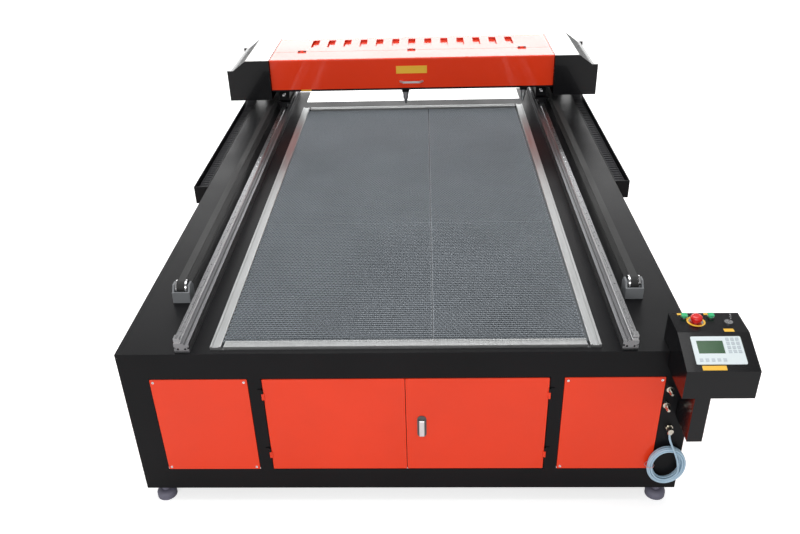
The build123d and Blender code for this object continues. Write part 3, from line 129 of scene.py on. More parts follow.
def paint_grain_group():
    """Cloudy tone and a fine height for powder coat, paint and moulded plastic."""
    name = "paint_grain"
    if name in bpy.data.node_groups:
        return bpy.data.node_groups[name]
    group, given, out = new_group(
        name, {"Cloud Scale": 3.0, "Grain Scale": 900.0, "Grain": 1.0},
        {"Cloud": "NodeSocketFloat", "Height": "NodeSocketFloat"})
    nodes, links = group.nodes, group.links
    where = nodes.new("ShaderNodeTexCoord")
    cloud = nodes.new("ShaderNodeTexNoise")
    cloud.inputs["Detail"].default_value = 5
    grain = nodes.new("ShaderNodeTexNoise")
    grain.inputs["Detail"].default_value = 2
    depth = nodes.new("ShaderNodeMath")
    depth.operation = "MULTIPLY"
    links.new(where.outputs["Object"], cloud.inputs["Vector"])
    links.new(where.outputs["Object"], grain.inputs["Vector"])
    links.new(given.outputs["Cloud Scale"], cloud.inputs["Scale"])
    links.new(given.outputs["Grain Scale"], grain.inputs["Scale"])
    links.new(grain.outputs["Fac"], depth.inputs[0])
    links.new(given.outputs["Grain"], depth.inputs[1])
    links.new(cloud.outputs["Fac"], out.inputs["Cloud"])
    links.new(depth.outputs["Value"], out.inputs["Height"])
    return group


def drawn_metal_group():
    """Fine lines along Y for drawn, ground and extruded metal."""
    name = "drawn_metal"
    if name in bpy.data.node_groups:
        return bpy.data.node_groups[name]
    group, given, out = new_group(
        name, {"Line Scale": 600.0}, {"Lines": "NodeSocketFloat", "Height": "NodeSocketFloat"})
    nodes, links = group.nodes, group.links
    where = nodes.new("ShaderNodeTexCoord")
    stretch = nodes.new("ShaderNodeMapping")
    stretch.inputs["Scale"].default_value = (1, 0.01, 1)
    lines = nodes.new("ShaderNodeTexNoise")
    lines.inputs["Detail"].default_value = 3
    links.new(where.outputs["Object"], stretch.inputs["Vector"])
    links.new(stretch.outputs["Vector"], lines.inputs["Vector"])
    links.new(given.outputs["Line Scale"], lines.inputs["Scale"])
    links.new(lines.outputs["Fac"], out.inputs["Lines"])
    links.new(lines.outputs["Fac"], out.inputs["Height"])
    return group


# Most values of a noise texture lie in this span
NOISE_LOW, NOISE_HIGH = 0.3, 0.7


def tone_ramp(nodes, links, source, target, dark, light):
    """Drives a colour between two tones with a value."""
    ramp = nodes.new("ShaderNodeValToRGB")
    ramp.color_ramp.elements[0].position = NOISE_LOW
    ramp.color_ramp.elements[1].position = NOISE_HIGH
    ramp.color_ramp.elements[0].color = (*dark, 1)
    ramp.color_ramp.elements[1].color = (*light, 1)
    links.new(source, ramp.inputs["Fac"])
    links.new(ramp.outputs["Color"], target)


def value_range(nodes, links, source, target, low, high):
    """Drives a socket between two values with a value."""
    span = nodes.new("ShaderNodeMapRange")
    span.inputs["From Min"].default_value = NOISE_LOW
    span.inputs["From Max"].default_value = NOISE_HIGH
    span.inputs["To Min"].default_value = low
    span.inputs["To Max"].default_value = high
    links.new(source, span.inputs["Value"])
    links.new(span.outputs["Result"], target)


def bump(nodes, links, height, shader, strength, distance):
    """Gives a shader a fine relief from a height."""
    relief = nodes.new("ShaderNodeBump")
    relief.inputs["Strength"].default_value = strength
    relief.inputs["Distance"].default_value = distance
    links.new(height, relief.inputs["Height"])
    links.new(relief.outputs["Normal"], shader.inputs["Normal"])


# Roughness of a clear coat, and depths of the reliefs in metres
COAT_ROUGHNESS = 0.04
PAINT_RELIEF, METAL_RELIEF = 0.0004, 0.0002


def painted(name, colour, rough, coat=0.0, grain=0.25, vary=0.12, scale=900.0, shine=0.5,
            metallic=0.0):
    """Paint, powder coat or moulded plastic, with a cloudy tone and a fine relief."""
    if name in bpy.data.materials:
        return bpy.data.materials[name]
    finish = bpy.data.materials.new(name)
    finish.use_nodes = True
    nodes, links = finish.node_tree.nodes, finish.node_tree.links
    shader = nodes["Principled BSDF"]
    shader.inputs["Coat Weight"].default_value = coat
    shader.inputs["Coat Roughness"].default_value = COAT_ROUGHNESS
    shader.inputs["Specular IOR Level"].default_value = shine
    shader.inputs["Metallic"].default_value = metallic
    surface = nodes.new("ShaderNodeGroup")
    surface.node_tree = paint_grain_group()
    surface.inputs["Grain Scale"].default_value = scale
    dark = [channel * (1 - vary) for channel in colour]
    light = [min(1, channel * (1 + vary)) for channel in colour]
    tone_ramp(nodes, links, surface.outputs["Cloud"], shader.inputs["Base Color"], dark, light)
    value_range(nodes, links, surface.outputs["Cloud"], shader.inputs["Roughness"],
                rough * 0.85, rough * 1.15)
    bump(nodes, links, surface.outputs["Height"], shader, grain, PAINT_RELIEF)
    return finish


def metal(name, colour, rough, lines=600.0, grain=0.15):
    """Bare metal with fine drawn lines."""
    if name in bpy.data.materials:
        return bpy.data.materials[name]
    finish = bpy.data.materials.new(name)
    finish.use_nodes = True
    nodes, links = finish.node_tree.nodes, finish.node_tree.links
    shader = nodes["Principled BSDF"]
    shader.inputs["Metallic"].default_value = 1.0
    surface = nodes.new("ShaderNodeGroup")
    surface.node_tree = drawn_metal_group()
    surface.inputs["Line Scale"].default_value = lines
    dark = [channel * 0.86 for channel in colour]
    tone_ramp(nodes, links, surface.outputs["Lines"], shader.inputs["Base Color"], dark, colour)
    value_range(nodes, links, surface.outputs["Lines"], shader.inputs["Roughness"],
                rough * 0.8, rough * 1.25)
    bump(nodes, links, surface.outputs["Height"], shader, grain, METAL_RELIEF)
    return finish


def zinc_sheet(name):
    """Galvanised sheet with its crystal pattern."""
    if name in bpy.data.materials:
        return bpy.data.materials[name]
    finish = bpy.data.materials.new(name)
    finish.use_nodes = True
    nodes, links = finish.node_tree.nodes, finish.node_tree.links
    shader = nodes["Principled BSDF"]
    shader.inputs["Metallic"].default_value = 0.9
    where = nodes.new("ShaderNodeTexCoord")
    crystals = nodes.new("ShaderNodeTexVoronoi")
    crystals.inputs["Scale"].default_value = 60
    links.new(where.outputs["Object"], crystals.inputs["Vector"])
    tone_ramp(nodes, links, crystals.outputs["Distance"], shader.inputs["Base Color"],
              (0.42, 0.44, 0.46), (0.62, 0.64, 0.65))
    value_range(nodes, links, crystals.outputs["Distance"], shader.inputs["Roughness"], 0.3, 0.45)
    return finish


def clear_glass(name):
    """Thin laboratory glass with a faint haze."""
    if name in bpy.data.materials:
        return bpy.data.materials[name]
    finish = bpy.data.materials.new(name)
    finish.use_nodes = True
    nodes, links = finish.node_tree.nodes, finish.node_tree.links
    shader = nodes["Principled BSDF"]
    shader.inputs["Transmission Weight"].default_value = 1.0
    shader.inputs["IOR"].default_value = 1.47
    surface = nodes.new("ShaderNodeGroup")
    surface.node_tree = paint_grain_group()
    tone_ramp(nodes, links, surface.outputs["Cloud"], shader.inputs["Base Color"],
              (0.86, 0.91, 0.93), (0.95, 0.97, 0.98))
    value_range(nodes, links, surface.outputs["Cloud"], shader.inputs["Roughness"], 0.02, 0.06)
    return finish


def lit_screen(name):
    """A back-lit panel: a glow with a faint cloudy tone, with nothing shown on it."""
    if name in bpy.data.materials:
        return bpy.data.materials[name]
    finish = bpy.data.materials.new(name)
    finish.use_nodes = True
    nodes, links = finish.node_tree.nodes, finish.node_tree.links
    shader = nodes["Principled BSDF"]
    shader.inputs["Coat Weight"].default_value = 0.6
    shader.inputs["Emission Strength"].default_value = 0.05
    surface = nodes.new("ShaderNodeGroup")
    surface.node_tree = paint_grain_group()
    surface.inputs["Cloud Scale"].default_value = 14
    tone_ramp(nodes, links, surface.outputs["Cloud"], shader.inputs["Base Color"],
              (0.030, 0.085, 0.038), (0.045, 0.115, 0.052))
    tone_ramp(nodes, links, surface.outputs["Cloud"], shader.inputs["Emission Color"],
              (0.10, 0.26, 0.12), (0.14, 0.34, 0.16))
    value_range(nodes, links, surface.outputs["Cloud"], shader.inputs["Roughness"], 0.15, 0.25)
    return finish


def finish_for(slot):
    """The finish of one of the record's material slots."""
    look = bpy.context.scene.engraver_finish
    black = tuple(look.black)
    makers = {
        "black_coat": lambda: painted("black_powder_coat", black, 0.4, grain=0.3, vary=0.25,
                                      scale=1400, shine=0.16),
        "black_gloss": lambda: painted("black_gloss_paint", black, 0.2, coat=0.15, grain=0.05,
                                       shine=0.25),
        "orange_gloss": lambda: painted("orange_gloss_paint", tuple(look.orange), 0.22, coat=0.35,
                                        grain=0.05, vary=0.04, shine=0.2),
        "white_coat": lambda: painted("cream_paint", tuple(look.cream), 0.35, coat=0.3,
                                      grain=0.1, vary=0.03),
        "aluminium": lambda: metal("satin_aluminium", (0.78, 0.79, 0.80), 0.3),
        "core_foil": lambda: painted("dull_foil", (0.46, 0.50, 0.54), 0.45, grain=0.1,
                                     vary=0.04, metallic=0.2),
        "steel": lambda: metal("ground_steel", (0.72, 0.72, 0.72), 0.2),
        "galvanised": lambda: zinc_sheet("zinc_sheet"),
        "belt": lambda: painted("belt_rubber", (0.018, 0.018, 0.018), 0.6, grain=0.5),
        "chain_plastic": lambda: painted("chain_plastic", (0.016, 0.016, 0.018), 0.45, grain=0.2),
        "chrome": lambda: metal("polished_chrome", (0.86, 0.86, 0.87), 0.09, grain=0.02),
        "bezel_plastic": lambda: painted("bezel_film", (0.74, 0.82, 0.84), 0.35, coat=0.2,
                                         grain=0.05, vary=0.03),
        "screen": lambda: lit_screen("lit_screen"),
        "red_plastic": lambda: painted("red_button", (0.72, 0.015, 0.012), 0.22, coat=0.5,
                                       grain=0.05),
        "green_plastic": lambda: painted("green_button", (0.03, 0.50, 0.20), 0.25, coat=0.5,
                                         grain=0.05),
        "hose_blue": lambda: painted("blue_hose", tuple(look.hose), 0.18, coat=0.5, grain=0.05,
                                     vary=0.06),
        "brass": lambda: metal("nickel_brass", (0.76, 0.72, 0.62), 0.24, lines=300),
        "rubber": lambda: painted("foot_rubber", (0.17, 0.165, 0.22), 0.6, grain=0.4),
        "glass": lambda: clear_glass("tube_glass"),
        "grey_metal": lambda: painted("grey_casting", (0.20, 0.21, 0.22), 0.45, grain=0.4),
        "module_metal": lambda: metal("module_sheet", (0.55, 0.56, 0.57), 0.32),
    }
    return makers[slot]()


# Making pieces
def finished_piece(name, bm, slot, body, smooth=False, material=None):
    """An object at the origin from a bmesh, with its finish, riding on its body."""
    mesh = bpy.data.meshes.new(name)
    bmesh.ops.recalc_face_normals(bm, faces=bm.faces)
    bm.to_mesh(mesh)
    bm.free()
    piece = bpy.data.objects.new(name, mesh)
    bpy.context.scene.collection.objects.link(piece)
    mesh.materials.append(material or finish_for(slot))
    for face in mesh.polygons:
        face.use_smooth = smooth
    if body:
        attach(piece, body)
    return piece


def add_block(bm, low, high, edge=0.0):
    """A block between two corners, with its edges eased."""
    made = bmesh.ops.create_cube(bm, size=1)["verts"]
    size = high - low
    bmesh.ops.scale(bm, vec=size, verts=made)
    bmesh.ops.translate(bm, vec=(low + high) / 2, verts=made)
    if edge:
        edges = {e for v in made for e in v.link_edges}
        bmesh.ops.bevel(bm, geom=list(edges), offset=edge, offset_type="OFFSET", affect="EDGES",
                        segments=2, profile=0.5, material=-1)


def turn_to(direction):
    """The rotation that takes +Z to a direction."""
    return Vector((0, 0, 1)).rotation_difference(Vector(direction)).to_matrix().to_4x4()


# Width of a screw head's top and rim against its radius, and its socket's depth against its height
HEAD_TOP, SOCKET_RIM, SOCKET_DEPTH = 0.86, 0.4, 0.55


def add_screw(bm, place, direction, radius, height, sides=14):
    """A tapered screw head with a round socket, standing on a face."""
    frame_of = Matrix.Translation(place) @ turn_to(direction)
    head = bmesh.ops.create_cone(bm, cap_ends=True, segments=sides, radius1=radius,
                                 radius2=radius * HEAD_TOP, depth=height,
                                 matrix=frame_of @ Matrix.Translation((0, 0, height / 2)))["verts"]
    top = max({f for v in head for f in v.link_faces},
              key=lambda f: f.calc_center_median().dot(Vector(direction)))
    bmesh.ops.inset_region(bm, faces=[top], thickness=radius * SOCKET_RIM, depth=0)
    sunk = bmesh.ops.extrude_discrete_faces(bm, faces=[top])["faces"][0]
    bmesh.ops.translate(bm, vec=Vector(direction) * -height * SOCKET_DEPTH, verts=sunk.verts)


def own_finish(node):
    """Finishes of single nodes that look different from the rest of their slot."""
    makers = {
        "lid_hinges": lambda: metal("dark_hinge_steel", (0.16, 0.16, 0.16), 0.4),
        "rail_beams": lambda: metal("rail_aluminium", (0.30, 0.30, 0.31), 0.38),
        "linear_guides": lambda: metal("guide_steel", (0.42, 0.42, 0.43), 0.3),
        "bed_frame": lambda: metal("bed_aluminium", (0.60, 0.61, 0.61), 0.38),
        "gantry_frame": lambda: finish_for("black_coat"),
        "latch_plate": lambda: painted("latch_casting", (0.10, 0.10, 0.10), 0.35, grain=0.2),
        "lid_handle": lambda: metal("handle_steel", (0.95, 0.95, 0.95), 0.42),
    }
    return makers[node]() if node in makers else None


class ENGRAVER_OT_finishes(bpy.types.Operator):
    """Gives every solid of the frame its finish"""

    bl_idname = "engraver.finishes"
    bl_label = "Finishes"

    def execute(self, context):
        for entry in frame["record"]["subparts"]:
            node = frame["nodes"][entry["node"]]
            finish = own_finish(entry["node"]) or finish_for(entry["material_slot"])
            if not node.material_slots:
                node.data.materials.append(finish)
            for slot in node.material_slots:
                slot.material = finish
        return {"FINISHED"}


def ribbon(bm, start, length, side, height, foil, flip):
    """One corrugated foil strip of the honeycomb, closed all round."""
    rise = side * sqrt(3) / 2
    x, up, points = 0.0, flip, []
    while x < length:
        points += [(x, up), (x + side, up)]
        x += 1.5 * side
        up = 1 - up
    points = [(px, py) for px, py in points if px <= length]
    low = [bm.verts.new(start + Vector((py * rise, px, 0))) for px, py in points]
    edges = [bm.edges.new(pair) for pair in zip(low, low[1:])]
    grown = bmesh.ops.extrude_edge_only(bm, edges=edges)["geom"]
    bmesh.ops.translate(bm, vec=(0, 0, height),
                        verts=[g for g in grown if isinstance(g, bmesh.types.BMVert)])
    walls = [g for g in grown if isinstance(g, bmesh.types.BMFace)]
    bmesh.ops.recalc_face_normals(bm, faces=walls)
    bmesh.ops.solidify(bm, geom=walls, thickness=foil)


def honeycomb_module(name, x, y, low, high):
    """One module of the bed: its foil ribbons, side by side."""
    sizes = bpy.context.scene.engraver_sizes
    side, foil = sizes.cell_side, sizes.foil
    rise = side * sqrt(3) / 2
    inset = 0.001
    bm = bmesh.new()
    for flip in (0, 1):
        ribbon(bm, Vector((x[0] + inset + flip * rise, y[0] + inset, low)), y[1] - y[0] - 2 * inset,
               side, high - low, foil, flip)
    pair = list(bm.verts) + list(bm.edges) + list(bm.faces)
    pairs = int((x[1] - x[0] - 2 * inset) / (2 * rise))
    for step in range(1, pairs):
        copied = bmesh.ops.duplicate(bm, geom=pair)["geom"]
        bmesh.ops.translate(bm, vec=(step * 2 * rise, 0, 0),
                            verts=[g for g in copied if isinstance(g, bmesh.types.BMVert)])
    return finished_piece(name, bm, "core_foil", "machine_base")


# Places of the bed's seams in millimetres
SEAM_X, SEAM_Y = 105, 992
# Depth of the cells, their gap to the dark block under them that paints the shade deep in the
# cells, and half the width and the drop of a seam strip, in metres
CELL_DEPTH, SHADE_BLOCK_GAP = 0.0052, 0.0003
SEAM_HALF, SEAM_DROP = 0.0005, 0.0012


class ENGRAVER_OT_honeycomb(bpy.types.Operator):
    """Fills the bed with honeycomb in four modules, over a dark block that paints the shade deep in
    its cells
    """

    bl_idname = "engraver.honeycomb"
    bl_label = "Honeycomb"

    def execute(self, context):
        low, high = (Vector(corner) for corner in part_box("honeycomb_core"))
        seam_x, seam_y = at(SEAM_X, SEAM_Y, 0).xy
        cells_low = high.z - CELL_DEPTH
        columns = ((low.x, seam_x), (seam_x, high.x))
        rows = ((low.y, seam_y), (seam_y, high.y))
        modules = [honeycomb_module(f"honeycomb_module_{i}{j}", column, row, cells_low, high.z)
                   for i, column in enumerate(columns) for j, row in enumerate(rows)]
        # A dark block under the shallow cells: painted shade that stands for the depth of the
        # honeycomb
        bm = bmesh.new()
        add_block(bm, low, Vector((high.x, high.y, cells_low - SHADE_BLOCK_GAP)))
        floor = finished_piece("honeycomb_cell_shade", bm, "core_foil", "machine_base",
                               material=painted("core_depth", (0.10, 0.11, 0.12), 0.6, vary=0.02))
        bm = bmesh.new()
        half = Vector((SEAM_HALF, SEAM_HALF, 0))
        lengthwise = (seam_x, low.y), (seam_x, high.y)
        crosswise = (low.x, seam_y), (high.x, seam_y)
        for start, end in (lengthwise, crosswise):
            add_block(bm, Vector((*start, cells_low)) - half,
                      Vector((*end, high.z - SEAM_DROP)) + half)
        seams = finished_piece("honeycomb_seams", bm, "core_foil", "machine_base")
        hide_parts("honeycomb_core")
        for piece in (*modules, seams):
            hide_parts("honeycomb_core")
        return {"FINISHED"}


# Places of the bolts and screws in millimetres
GUIDE_X, GUIDE_TOP = 798, TABLE_TOP + 47.2
FIRST_BOLT_Y, RAIL_BOLTS = 70.5, 48
PANEL_SCREW_Z = (TABLE_TOP - 124, TABLE_TOP - 533)
FRONT_PANEL_X, SIDE_PANEL_X = 744, 1026
# Middle and half length of each side panel, and how far in from its edge its screws stand
SIDE_PANELS, SCREW_INSET = ((481, 396), (1381, 374), (2272.5, 386)), 14


class ENGRAVER_OT_fasteners(bpy.types.Operator):
    """Sets the rail bolts, the panel screws and the bolts under the lid's ends"""

    bl_idname = "engraver.fasteners"
    bl_label = "Fasteners"

    def execute(self, context):
        sizes = context.scene.engraver_sizes
        bm = bmesh.new()
        for side in (-1, 1):
            for index in range(RAIL_BOLTS):
                y = FIRST_BOLT_Y + index * sizes.bolt_pitch * 1000
                add_screw(bm, at(side * GUIDE_X, y, GUIDE_TOP), (0, 0, 1), radius=0.0044,
                          height=0.0026, sides=10)
        finished_piece("rail_bolts", bm, "chrome", "machine_base")

        bm = bmesh.new()
        for side in (-1, 1):
            for dx in (-165, 165):
                for z in PANEL_SCREW_Z:
                    add_screw(bm, at(side * FRONT_PANEL_X + dx, -1, z), (0, -1, 0),
                              radius=0.0055, height=0.0022)
        for side in (-1, 1):
            for y, half in SIDE_PANELS:
                for dy in (-half + SCREW_INSET, half - SCREW_INSET):
                    for z in PANEL_SCREW_Z:
                        add_screw(bm, at(side * SIDE_PANEL_X, y + dy, z), (side, 0, 0),
                                  radius=0.0055, height=0.0022)
        finished_piece("panel_screws", bm, "chrome", "machine_base")

        bm = bmesh.new()
        for side in (-1, 1):
            for y in (2512, 2540):
                add_screw(bm, at(side * 790, y, TABLE_TOP + 120), (0, 0, 1), radius=0.008,
                          height=0.010)
        finished_piece("carriage_bolts", bm, "chrome", "gantry")
        return {"FINISHED"}


# The console's sloping face and its flat top
SLOPE_FOOT = at(1034, -183, TABLE_TOP + 51)
SLOPE_UP = Vector((0, 142, 56)).normalized()
SLOPE_OUT = Vector((1, 0, 0)).cross(SLOPE_UP)
CONSOLE_TOP = TABLE_TOP + 107
# Thickness of a plate, lift of the keys over the slope and half a cap's width, in millimetres
PLATE, KEY_LIFT, CAP_HALF = 0.6, 4.9, 10
# Sizes in metres of the plate and of a key on the slope
SLOPE_PLATE = (0.078, 0.017, 0.0008)
KEY_SIZE = (0.011, 0.011, 0.0018)


def on_slope(across, along, lift):
    """A point on the console's sloping face, in millimetres from its foot."""
    return (SLOPE_FOOT + Vector((across, 0, 0)) / 1000 + SLOPE_UP * along / 1000
            + SLOPE_OUT * lift / 1000)


def slope_tilt():
    """The rotation that lays a piece on the console's sloping face."""
    return Matrix((Vector((1, 0, 0)), SLOPE_UP, SLOPE_OUT)).transposed().to_4x4()


def add_ring(bm, centre, inner, outer, height):
    """A flat ring with square edges."""
    edges = []
    for radius in (inner, outer):
        loop = bmesh.ops.create_circle(bm, cap_ends=False, segments=40, radius=radius,
                                       matrix=Matrix.Translation(centre))["verts"]
        edges += list({e for v in loop for e in v.link_edges})
    faces = bmesh.ops.bridge_loops(bm, edges=edges)["faces"]
    bmesh.ops.solidify(bm, geom=faces, thickness=height)


class ENGRAVER_OT_plates(bpy.types.Operator):
    """Adds the blank yellow plates on the lid and the console"""

    bl_idname = "engraver.plates"
    bl_label = "Blank plates"

    def execute(self, context):
        yellow = painted("yellow_film", tuple(context.scene.engraver_finish.yellow), 0.35,
                         coat=0.4, grain=0.05, vary=0.03)
        bm = bmesh.new()
        add_block(bm, at(-91, 2467.2, TABLE_TOP + 259), at(94, 2468, TABLE_TOP + 305), 0.0002)
        finished_piece("lid_plate", bm, None, "lid", material=yellow)
        bm = bmesh.new()
        for left, right in ((944, 978), (1034, 1068)):
            add_block(bm, at(left, 63, CONSOLE_TOP), at(right, 73, CONSOLE_TOP + PLATE))
        add_block(bm, at(1072, -39, CONSOLE_TOP), at(1105, -22, CONSOLE_TOP + PLATE))
        add_ring(bm, at(995, 22, CONSOLE_TOP + 0.3), inner=0.0245, outer=0.031, height=0.0006)
        finished_piece("console_plates", bm, None, "machine_base", material=yellow)
        bm = bmesh.new()
        made = bmesh.ops.create_cube(bm, size=1)["verts"]
        bmesh.ops.scale(bm, vec=SLOPE_PLATE, verts=made)
        place = Matrix.Translation(on_slope(-27, 14, 0.4)) @ slope_tilt()
        bmesh.ops.transform(bm, matrix=place, verts=made)
        finished_piece("slope_plate", bm, None, "machine_base", material=yellow)
        bm = bmesh.new()
        add_block(bm, at(-672, 2473.4, TABLE_TOP + 160), at(-610, 2474, TABLE_TOP + 170))
        finished_piece("beam_plate", bm, None, "gantry", material=yellow)
        return {"FINISHED"}


class ENGRAVER_OT_keypad(bpy.types.Operator):
    """Sets the blank keys by the screen and the square caps on the push buttons"""

    bl_idname = "engraver.keypad"
    bl_label = "Keypad"

    def execute(self, context):
        tilt = slope_tilt()
        film = painted("key_film", (0.50, 0.56, 0.60), 0.4, coat=0.2, grain=0.05)
        groups = {
            "side_keys": [(x, y) for x in (36, 52, 68) for y in (74, 90, 106, 122)],
            "lower_keys": [(x, 42) for x in (-64, -45, -26, -7, 12)],
        }
        for name, places in groups.items():
            bm = bmesh.new()
            for across, along in places:
                made = bmesh.ops.create_cube(bm, size=1)["verts"]
                bmesh.ops.scale(bm, vec=KEY_SIZE, verts=made)
                edges = list({e for v in made for e in v.link_edges})
                eased = bmesh.ops.bevel(bm, geom=edges, offset=0.0006, offset_type="OFFSET",
                                        affect="EDGES", segments=2, profile=0.5, material=-1)
                place = Matrix.Translation(on_slope(across, along, KEY_LIFT)) @ tilt
                bmesh.ops.transform(bm, matrix=place, verts=eased["verts"])
            finished_piece(name, bm, None, "machine_base", material=film)
        for body, x in (("left_button", 963), ("right_button", 1053)):
            bm = bmesh.new()
            add_block(bm, at(x - CAP_HALF, 40, TABLE_TOP + 114.1),
                      at(x + CAP_HALF, 60, TABLE_TOP + 119), edge=0.0015)
            finished_piece(f"{body}_cap", bm, "green_plastic", body)
        return {"FINISHED"}


# Energy chains: middle and half width, heights of both runs, half height of a link,
# thickness of its side plates and cross bars, and half width of the clamp, in millimetres
CHAIN_X, CHAIN_HALF = 1064, 27
CHAIN_LOW, CHAIN_HIGH = TABLE_TOP - 42, TABLE_TOP + 84
LINK_HALF_H = 16
LINK_PLATE, LINK_BAR = 5, 3
CLAMP_HALF = 21


def add_links(bm, side, first, count, pitch, z):
    """Links laid towards the front: two side plates, two cross bars and a narrower core."""
    x, gap = side * CHAIN_X, pitch * 0.06
    for index in range(count):
        rear = first - index * pitch
        front = rear - pitch
        for edge in (-1, 1):
            left, right = sorted((x + edge * CHAIN_HALF, x + edge * (CHAIN_HALF - LINK_PLATE)))
            add_block(bm, at(left, front + gap, z - LINK_HALF_H),
                      at(right, rear - gap, z + LINK_HALF_H))
        for low in (z - LINK_HALF_H + 1, z + LINK_HALF_H - 1 - LINK_BAR):
            add_block(bm, at(x - CHAIN_HALF + LINK_PLATE, front + pitch * 0.3, low),
                      at(x + CHAIN_HALF - LINK_PLATE, rear - pitch * 0.3, low + LINK_BAR))
        add_block(bm, at(x - CHAIN_HALF + 6, front, z - LINK_HALF_H + 5),
                  at(x + CHAIN_HALF - 6, rear, z + LINK_HALF_H - 5))


class ENGRAVER_OT_chains(bpy.types.Operator):
    """Lays the links of the energy chains' lower and upper runs, and the clamps on the gantry"""

    bl_idname = "engraver.chains"
    bl_label = "Energy chains"

    def execute(self, context):
        for side, label in ((-1, "left"), (1, "right")):
            bm = bmesh.new()
            add_links(bm, side, first=2775, count=44, pitch=30, z=CHAIN_LOW)
            run = finished_piece(f"lower_chain_{label}", bm, "chain_plastic", "machine_base")
            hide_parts("chain_lower_runs")
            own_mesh(run)
            # Fine ribs
            bm = bmesh.new()
            add_links(bm, side, first=2774, count=30, pitch=2, z=CHAIN_HIGH)
            run = finished_piece(f"upper_chain_{label}", bm, "chain_plastic", None)
            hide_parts("chain_upper_runs")
            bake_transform(run)
            bm = bmesh.new()
            x = side * CHAIN_X
            add_block(bm, at(x - CLAMP_HALF, 2720, CHAIN_HIGH + 16.2),
                      at(x + CLAMP_HALF, 2750, TABLE_TOP + 116), edge=0.001)
            clamp = finished_piece(f"chain_clamp_{label}", bm, "steel", "gantry")
            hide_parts("chain_upper_runs")
        return {"FINISHED"}


# Air hose
HOSE_DIAMETER = 0.008
HOSE_ROUTE = [
    (961, -20, 360), (962.5, -19.8, 343), (967, -21, 327), (974, -26, 310), (983, -34, 290),
    (994, -36, 265), (1004, -34, 235), (1011, -30, 205),
]
COIL_MIDDLE = (969, -18, 205)
COIL_MEAN = (61, 77)
# Places of the turns in the coil's cross section, out from its mean line and to the rear
COIL_SLOTS = [
    (-8.6, -8), (0, -8), (8.6, -8), (8.6, 0), (0, 0),
    (-8.6, 0), (-8.6, 8), (0, 8), (8.6, 8), (8.6, 8),
]
# Both parts of the end fitting: place along the hose, two radii and length, in metres
FITTING_PARTS = ((-0.004, 0.0052, 0.0052, 0.010), (0.004, 0.0052, 0.0038, 0.006))
# Radius of the tie's loop and of its wire, in metres
TIE_RADIUS, TIE_WIRE = 0.0165, 0.0012


def coil_points(turns, per_turn=14):
    """Points of the hanging turns, which step from one place of the coil to the next."""
    points = []
    for index in range(1, turns * per_turn + 1):
        turn, part = divmod(index / per_turn, 1)
        before, after = COIL_SLOTS[int(turn)], COIL_SLOTS[int(turn) + 1]
        out = before[0] + (after[0] - before[0]) * part
        rear = before[1] + (after[1] - before[1]) * part
        angle = -2 * pi * index / per_turn
        points.append((COIL_MIDDLE[0] + (COIL_MEAN[0] + out) * cos(angle),
                       COIL_MIDDLE[1] + rear,
                       COIL_MIDDLE[2] + (COIL_MEAN[1] + out) * sin(angle)))
    return points


class ENGRAVER_OT_hose(bpy.types.Operator):
    """Hangs the air hose from its fitting, with its spare length in a tied coil"""

    bl_idname = "engraver.hose"
    bl_label = "Air hose"

    def execute(self, context):
        points = HOSE_ROUTE + coil_points(context.scene.engraver_sizes.coil_turns)
        line = bpy.data.curves.new("air_hose_line", "CURVE")
        line.dimensions = "3D"
        line.bevel_depth = HOSE_DIAMETER / 2
        line.bevel_resolution = 3
        line.use_fill_caps = True
        spline = line.splines.new("NURBS")
        spline.points.add(len(points) - 1)
        for point, place in zip(spline.points, points):
            point.co = (*at(*place), 1)
        spline.order_u = 3
        spline.use_endpoint_u = True
        spline.resolution_u = 6
        hose = bpy.data.objects.new("air_hose_line", line)
        context.scene.collection.objects.link(hose)
        line.materials.append(finish_for("hose_blue"))
        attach(hose, "machine_base")
        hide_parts("air_hose", "hose_coil")

        end, before = at(*points[-1]), at(*points[-2])
        way = (end - before).normalized()
        bm = bmesh.new()
        turn = turn_to(way)
        for shift, base, tip_radius, depth in FITTING_PARTS:
            bmesh.ops.create_cone(bm, cap_ends=True, segments=20, radius1=base,
                                  radius2=tip_radius, depth=depth,
                                  matrix=Matrix.Translation(end + way * shift) @ turn)
        tip = finished_piece("hose_end_fitting", bm, "brass", "machine_base")

        bm = bmesh.new()
        upright = Matrix.Translation((TIE_RADIUS, 0, 0)) @ Matrix.Rotation(pi / 2, 4, "X")
        ring = bmesh.ops.create_circle(bm, cap_ends=False, segments=12, radius=TIE_WIRE,
                                       matrix=upright)
        bmesh.ops.spin(bm, geom=ring["verts"] + bm.edges[:], cent=(0, 0, 0), axis=(0, 0, 1),
                       dvec=(0, 0, 0), angle=2 * pi, steps=28, use_merge=True,
                       use_duplicate=False)
        tie_place = at(COIL_MIDDLE[0] - COIL_MEAN[0], COIL_MIDDLE[1], COIL_MIDDLE[2])
        bmesh.ops.translate(bm, vec=tie_place, verts=bm.verts)
        tie = finished_piece("coil_tie", bm, None, "machine_base", smooth=True,
                             material=painted("pink_tie", (0.72, 0.36, 0.36), 0.4))
        return {"FINISHED"}


# Stage
CAMERA_PLACE = at(85.69, -2250.1, TABLE_TOP + 1651.88)
CAMERA_PITCH, CAMERA_YAW, CAMERA_ROLL = radians(30.09), radians(-2.3), radians(-1.77)
LENS, SENSOR = 35.83, 36
# Strength of the room's light, and of what the camera sees behind and below the machine
ROOM_LIGHT, BACKDROP_GLOW, FLOOR_GLOW = 0.33, 1.0, 0.62
FLOOR_SIZE = 30


